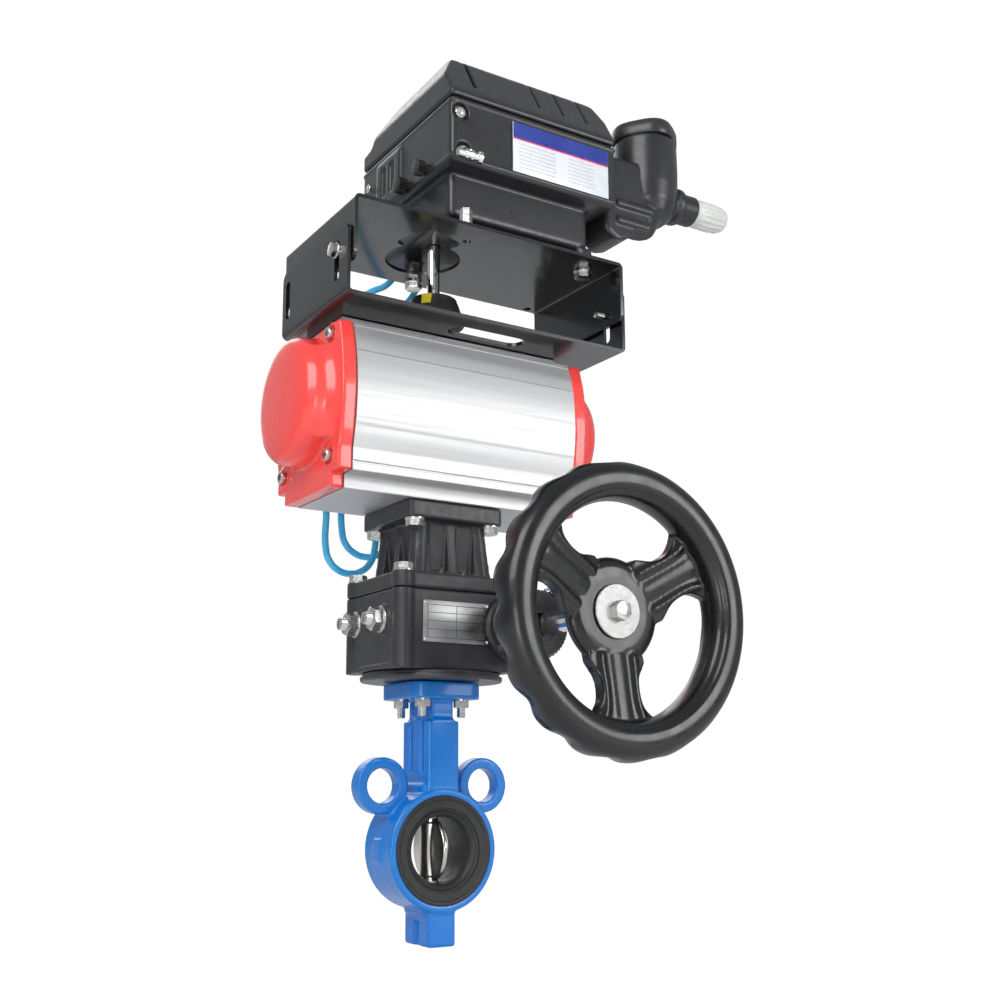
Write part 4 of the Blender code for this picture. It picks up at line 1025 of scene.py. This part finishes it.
def bracket_upper():
    notch = slab("notch", [rounded((-20, -20), (20, 20), 7)], "XY", 485, 496)
    notch.data.transform(Matrix.Translation((-0.026, -0.038, 0)) @ spun(20))
    holes = [upright("opening", -14, -6, 485, 496, 32.0, 64), notch]
    for x, y in ((-1, -57), (125, 41)):
        holes.append(upright("spare", x, y, 485, 496, 3.5, 32))
    channel("upper", (-115.6, 140.4, -83.1, 47.5, 440.0, 492.1), False, holes, bolt_hole)


def bracket_bolts():
    spots = (
        ("left", -119.5, LEFT_YS[0], -1, ["bracket_bolt_left"]),
        ("right", 144.3, RIGHT_YS[0], 1, ["bracket_bolt_right"]),
        ("right_rear", 144.3, RIGHT_YS[1], 1, []),
    )
    for word, x, y, side, node in spots:
        seat = (x, y, SIDE_BOLT_Z)
        hex_bolt(f"side_bolt_{word}", seat, (side, 0, 0), 10.0, 4.2, node, 15)
    for i, (x, y) in enumerate(FEET):
        hex_bolt(f"positioner_bolt_{i}", (x, y, 489.0), (0, 0, -1), 13.0, 5.4, shank=-1.0)
    post = hexagon("standoff", (-12, -74, 492.3), (-12, -74, 507), 9.0, False)
    done(post, ZINC, FIXED, (), 30.0)


# Positioner


def positioner_body():
    pieces = [
        block("shell", (-29, -80, 544), (138, 81, 602), 4.0, 4),
        block("base", (-20, -62, 506), (120, 70, 548), 5.0, 3),
        block("port_block", (-31.5, 4, 548), (-20, 50, 594), 2.5),
    ]
    for x, y in FEET:
        pieces.append(upright("foot", x, y, 492.4, 508, 8.0, 32))
    for z in (548.5, 598):
        pieces.append(block("band", (-29.6, -80.6, z - 1.5), (138.4, 81.4, z + 1.5), 1.2))
    holes = [
        block("cavity", (-23, -74, 550), (132, 75, 612)),
        block("well", (-14, -50, 514), (110, 60, 560)),
        upright("shaft", 0, 0, 500, 520, 6.3, 32),
        bar("corner_recess", (-20, -90, 588), (-20, -75.5, 588), 7.5, 40),
        bar("corner_recess", (-17, -90, 555), (-17, -75.5, 555), 7.0, 40),
        block("port_slot", (-33, 15, 560), (-29.5, 24, 586)),
        block("port_slot", (-33, 30, 560), (-29.5, 39, 586)),
    ]
    made = cast(pieces, 1.1, 3, "positioner_case", holes)
    done(made, CASING, FIXED, ["positioner_body"], None)
    for i, (x, z) in enumerate(((-20, 588), (-17, 555))):
        cap_screw(f"case_screw_{i}", (x, -75.8, z), (0, -1, 0), 4.6, 3.6)
    cap_screw("case_screw_side", (-31.4, 60, 577), (-1, 0, 0), 4.0, 3.0)


def positioner_fittings():
    for i, (y, z, radius, length) in enumerate(((-6, 551, 6.5, 12), (-38, 553, 6.0, 11)), 1):
        neck = radius * 0.8
        profile = [(0, length), (radius * 0.7, length), (radius, length - 1.2), (radius, 3.0)]
        profile += [(neck, 2.2), (neck, 0), (0, 0)]
        aim = aimed((-29.3, y, z), (-30.3, y, z))
        knurl = knurled(20, radius)
        made = turned(f"bleed_knob_{i}", profile, axis=aim, steps=120, ripple=knurl)
        done(made, PLASTIC, FIXED)

    def at(x):
        return (x, -84.5, 549)

    pieces = [bar("nipple", at(-26), at(-4), 3.6, 40)]
    for start, end, radius in ((-8, -4.5, 5.6), (-20, -17.5, 5.0), (-15, -12.5, 5.0)):
        pieces.append(washer("ring", at(start), at(end), radius, 3.0))
    done(together("exhaust_fitting", pieces), CHROME, FIXED)


def positioner_cover():
    profile = [(-80, 602.4), (-80, 607), (-77.5, 612), (-58, 646.5), (-52, 651.5), (-43, 655)]
    profile += [(40, 651), (47, 648), (64, 621), (69, 618), (81, 616), (81, 602.4)]
    made = slab("positioner_lid", [profile], "YZ", -29, 138)
    wedges = []
    for side, x, lean in ((-1, -29.0, 20.0), (1, 138.0, 13.0)):
        outline = [(x + side * 8, 612), (x - side * lean, 660)]
        outline += [(x + side * 30, 660), (x + side * 30, 612)]
        wedges.append(slab("wedge", [outline], "XZ", -100, 100))
    made = baked(bevelled(cut(made, *wedges), 4.0, 3, 20))
    xs = [62 + i * 12.5 for i in range(5)]
    grooves = [block("groove", (x - 1.0, -90, 618), (x + 1.0, -40, 655)) for x in xs]
    outline = [(-84, 612), (-76, 608), (-54, 648), (-44, 653), (-44, 660), (-84, 660)]
    skin = slab("skin", [outline], "YZ", 40, 130)
    holes = [
        block("hollow", (-17, -66, 598), (122, 60, 612)),
        combined(together("grooves", grooves), "INTERSECT", [skin]),
        block("corner_gap", (-5.0, -90, 616), (-1.5, -52, 660)),
    ]
    made = cast([made], 1.0, 2, "positioner_lid", holes)
    done(made, CASING, FIXED, ["positioner_cover"], None)


def label():
    y = LABEL_Y
    film = block("label_film", (29, y - 0.5, 549), (128, y, 593), 0.2, 2)
    done(film, FILM_WHITE, FIXED, ["positioner_label"], 30.0)
    bands = (("label_header", FILM_BLUE, 579.5, 592.7), ("label_stripe", FILM_PINK, 578.3, 579.4))
    for name, look, low, high in bands:
        band = block(name, (29.4, y - 0.8, low), (127.6, y - 0.3, high))
        done(band, look, FIXED)
    rules = []
    for z in [574.5 - i * 3.4 for i in range(7)]:
        for left, right in ((35, 72), (85, 112)):
            rules.append(block("rule", (left, y - 0.58, z), (right, y - 0.3, z + 0.5)))
    done(together("label_blank_fields", rules), FILM_GREY, FIXED, (), None)


def terminal_box():
    x, y, z = TERMINAL_X, TERMINAL_Y, GLAND_Z
    body = [(0, 634), (28.4, 634), (29.4, 632), (29.8, 606), (29.4, 590), (27.5, 574)]
    body += [(23, 563), (16, 558), (0, 556)]
    arm = [(138.4, 531), (138.4, 604), (178, 604), (204, 590), (200, 562), (180, 545)]
    arm += [(164, 528), (150, 524)]
    pieces = [
        turned("terminal_case", body, (x, y, 0)),
        baked(bevelled(slab("arm", [arm], "XZ", y - 19, y + 19), 4.0, 3)),
        bar("foot", (x, y, 590), (x - 14, y, 550), 27.0, 64, 18.0),
        bar("boss", (x, y, z), (234.5, y, z), 15.0),
        bar("collar", (229, y, z), (236, y, z), 17.0),
        block("rib", (150, y - 22, 540), (188, y - 16, 546), 1.5),
        block("rib", (150, y - 22, 556), (192, y - 16, 562), 1.5),
    ]
    made = cast(pieces, 0.95, 4, "terminal_casting")
    done(made, CASING, FIXED, ["terminal_box"], None)

    def lobes(radius, angle):
        return radius + (1.6 * math.cos(4 * angle + 0.6) if radius > 20 else 0.0)

    lid = [(0, 650), (12, 650), (25.5, 649.6), (28.6, 648.0), (30.4, 644.8), (30.4, 636.4)]
    lid += [(29.6, 634.4), (0, 634.4)]
    made = turned("terminal_cap", lid, (x, y, 0), steps=128, ripple=lobes)
    done(made, CASING, FIXED, ["terminal_lid"])
    for i, (dx, dy) in enumerate(((-15.2, -15.2), (15.2, -15.2), (15.2, 15.2), (-15.2, 15.2))):
        cap_screw(f"lid_screw_{i}", (x + dx, y + dy, 649.2), (0, 0, 1), 2.6, 1.0)
    nut = [(6, 17.6), (13.4, 17.6), (14, 17.0), (14, 0), (6, 0)]
    made = turned("gland_socket", nut, (236.3, y, z), "X", 64, True)
    done(made, PLASTIC, FIXED, ["gland_body"])
    cap = [(6, 39.5), (8.2, 39.5), (10.4, 38.0), (11.4, 35.0), (12.2, 33.0), (12.2, 27)]
    cap += [(13.0, 24), (13.0, 8), (12.6, 6.0), (12.6, 0), (6, 0)]
    made = turned("gland_nut", cap, (254.3, y, z), "X", 160, True, knurled(16, 13.0, 12.2))
    done(made, NYLON, FIXED, ["gland_cap"])


# Air tubing

TUBE_A = [
    (14, 92, 544.7), (14, 92, 534), (12, 92, 519), (3, 92, 505),
    (-14, 92, 494), (-32, 92, 478), (-46, 91, 452), (-53, 90, 415),
    (-55, 89, 370), (-55, 89, 320), (-55, 89, 280), (-55, 89, 252),
    (-52, 88.5, 241), (-44, 88, 232.9), (-33, 87, 230), (-22, 85.5, 232.9),
    (-14, 84, 241), (-11, 82.5, 252), (-11, 80, 275), (-11.8, 77, 302),
    (-12, 75.2, 320), (-12, 75.2, 329.2),
]
TUBE_B = [
    (40, 92, 544.7), (40, 92, 534), (38, 92.5, 517), (30, 94, 499),
    (10, 97, 476), (-10, 99, 448), (-24, 100, 405), (-31, 101, 355),
    (-34, 101, 310), (-34, 101, 270), (-31, 100, 259), (-23, 98.5, 251),
    (-12, 96.5, 248), (-1, 94, 251), (7, 91, 259), (10, 88, 270),
    (11.4, 82, 295), (12, 75.8, 320), (12, 75.2, 329.2),
]


def air_tube(name, node, route):
    curve = bpy.data.curves.new(name, "CURVE")
    curve.dimensions = "3D"
    curve.bevel_depth = 3.0 * MM
    curve.bevel_resolution = 5
    curve.use_fill_caps = True
    curve.resolution_u = 8
    spline = curve.splines.new("BEZIER")
    spline.bezier_points.add(len(route) - 1)
    for point, place in zip(spline.bezier_points, route):
        point.co = Vector(place) * MM
        point.handle_left_type = "AUTO"
        point.handle_right_type = "AUTO"
    curve.materials.append(TUBE)
    made = linked(name, curve)
    bpy.context.view_layer.update()
    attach(made, FIXED)
    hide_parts(node)


def elbow(name, node, x, face, z):
    out = face + 11.0
    swivel = [(0, 7.4), (4.5, 7.2), (6.2, 6.0), (6.5, 4.6), (6.5, -10.5), (5.9, -11.2)]
    swivel += [(5.9, -12.4), (6.5, -13), (6.5, -15.6), (5.6, -16.8), (3.2, -16.8), (3.2, -12)]
    swivel.append((0, -12))
    pieces = [
        turned("swivel", swivel, (x, out, z), steps=48),
        hexagon("hex", (x, face + 0.4, z), (x, face + 6.0, z), 13.0),
        bar("stub", (x, face + 5, z), (x, out, z), 4.8, 32),
    ]
    done(together(name, pieces), ZINC, FIXED, [node])


air_tube("air_hose_a", "air_tube_a", TUBE_A)
air_tube("air_hose_b", "air_tube_b", TUBE_B)


# Nodes that keep their CAD shape

KEPT = {
    "valve_stem": STEEL,
    "stem_bush": BRONZE,
    "worm_segment": BRONZE,
    "drive_sleeve": STEEL,
    "worm_shaft": CHROME,
    "rear_eccentric_bush": GREY,
    "latch_pin": CHROME,
    "piston_left": MACHINED,
    "piston_right": MACHINED,
    "piston_seal_left": RUBBER,
    "piston_seal_right": RUBBER,
    "pinion": STEEL,
    "pinion_bush_lower": ACETAL,
    "pinion_bush_upper": ACETAL,
    "feedback_shaft": CHROME,
    "feedback_cam": ACETAL,
    "pilot_relay": MACHINED,
    "circuit_board": BOARD,
}


def keep_nodes():
    for name, look in KEPT.items():
        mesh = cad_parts[name].data
        mesh.materials.clear()
        mesh.materials.append(look)
        for polygon in mesh.polygons:
            polygon.material_index = 0


# Studio

BACKDROP = 1.05  # a little over white, so that the backdrop stays pure white

def seen_as(tree, surface, backdrop, output):
    """Shows the camera one shader and lights the scene with another."""
    either = new_node(tree, "MixShader")
    tree.links.new(new_node(tree, "LightPath").outputs["Is Camera Ray"], either.inputs["Fac"])
    tree.links.new(surface.outputs[0], either.inputs[1])
    tree.links.new(backdrop.outputs[0], either.inputs[2])
    tree.links.new(either.outputs["Shader"], tree.nodes[output].inputs["Surface"])


def studio():
    pale = Look("studio_floor", (0.9, 0.9, 0.9), 0.6)
    glow = new_node(pale.tree, "Emission", Strength=BACKDROP)
    seen_as(pale.tree, pale.shader, glow, "Material Output")
    floor = block("studio_floor", (-6000, -6000, -80), (6000, 6000, -74.5))
    floor.data.materials.append(pale.material)
    world = bpy.data.worlds.new("studio")
    bpy.context.scene.world = world
    world.use_nodes = True
    backdrop = world.node_tree.nodes["Background"]
    backdrop.inputs["Color"].default_value = (1.0, 1.0, 1.0, 1.0)
    backdrop.inputs["Strength"].default_value = BACKDROP
    ambient = new_node(world.node_tree, "Background", Color=(0.93, 0.96, 1.0, 1.0), Strength=0.38)
    seen_as(world.node_tree, ambient, backdrop, "World Output")
    lights = (
        ("key", (-1.3, -1.0, 1.3), 1.2, 21.0),
        ("fill", (0.9, -1.6, 0.6), 0.8, 11.0),
        ("rear", (0.3, 1.5, 1.3), 1.4, 10.0),
        ("low", (-0.7, -1.3, -0.02), 0.5, 4.0),
    )
    for name, place, size, power in lights:
        data = bpy.data.lights.new(name, "AREA")
        data.size = size
        data.energy = power
        lamp = linked(name, data)
        lamp.location = place
        aim = Vector((0.0, 0.0, 0.3)) - Vector(place)
        lamp.rotation_euler = aim.to_track_quat("-Z", "Y").to_euler()
    bpy.context.scene.view_settings.view_transform = "Standard"


valve_body()
valve_liner()
valve_disc()
valve_bolts()
base_plate()
gearbox_housing()
gearbox_cover()
stop_screws()
nameplate()
clutch()
handwheel()
actuator_body()
end_cap("left", -1)
end_cap("right", 1)
indicator()
bracket_lower()
bracket_upper()
bracket_bolts()
positioner_body()
positioner_fittings()
positioner_cover()
label()
terminal_box()
elbow("push_in_elbow_0", "tube_fitting_out_1", 14, 81, 562)
elbow("push_in_elbow_1", "tube_fitting_out_2", 40, 81, 562)
elbow("push_in_elbow_2", "tube_fitting_port_a", -12, 64.2, CYLINDER_Z)
elbow("push_in_elbow_3", "tube_fitting_port_b", 12, 64.2, CYLINDER_Z)
keep_nodes()
studio()
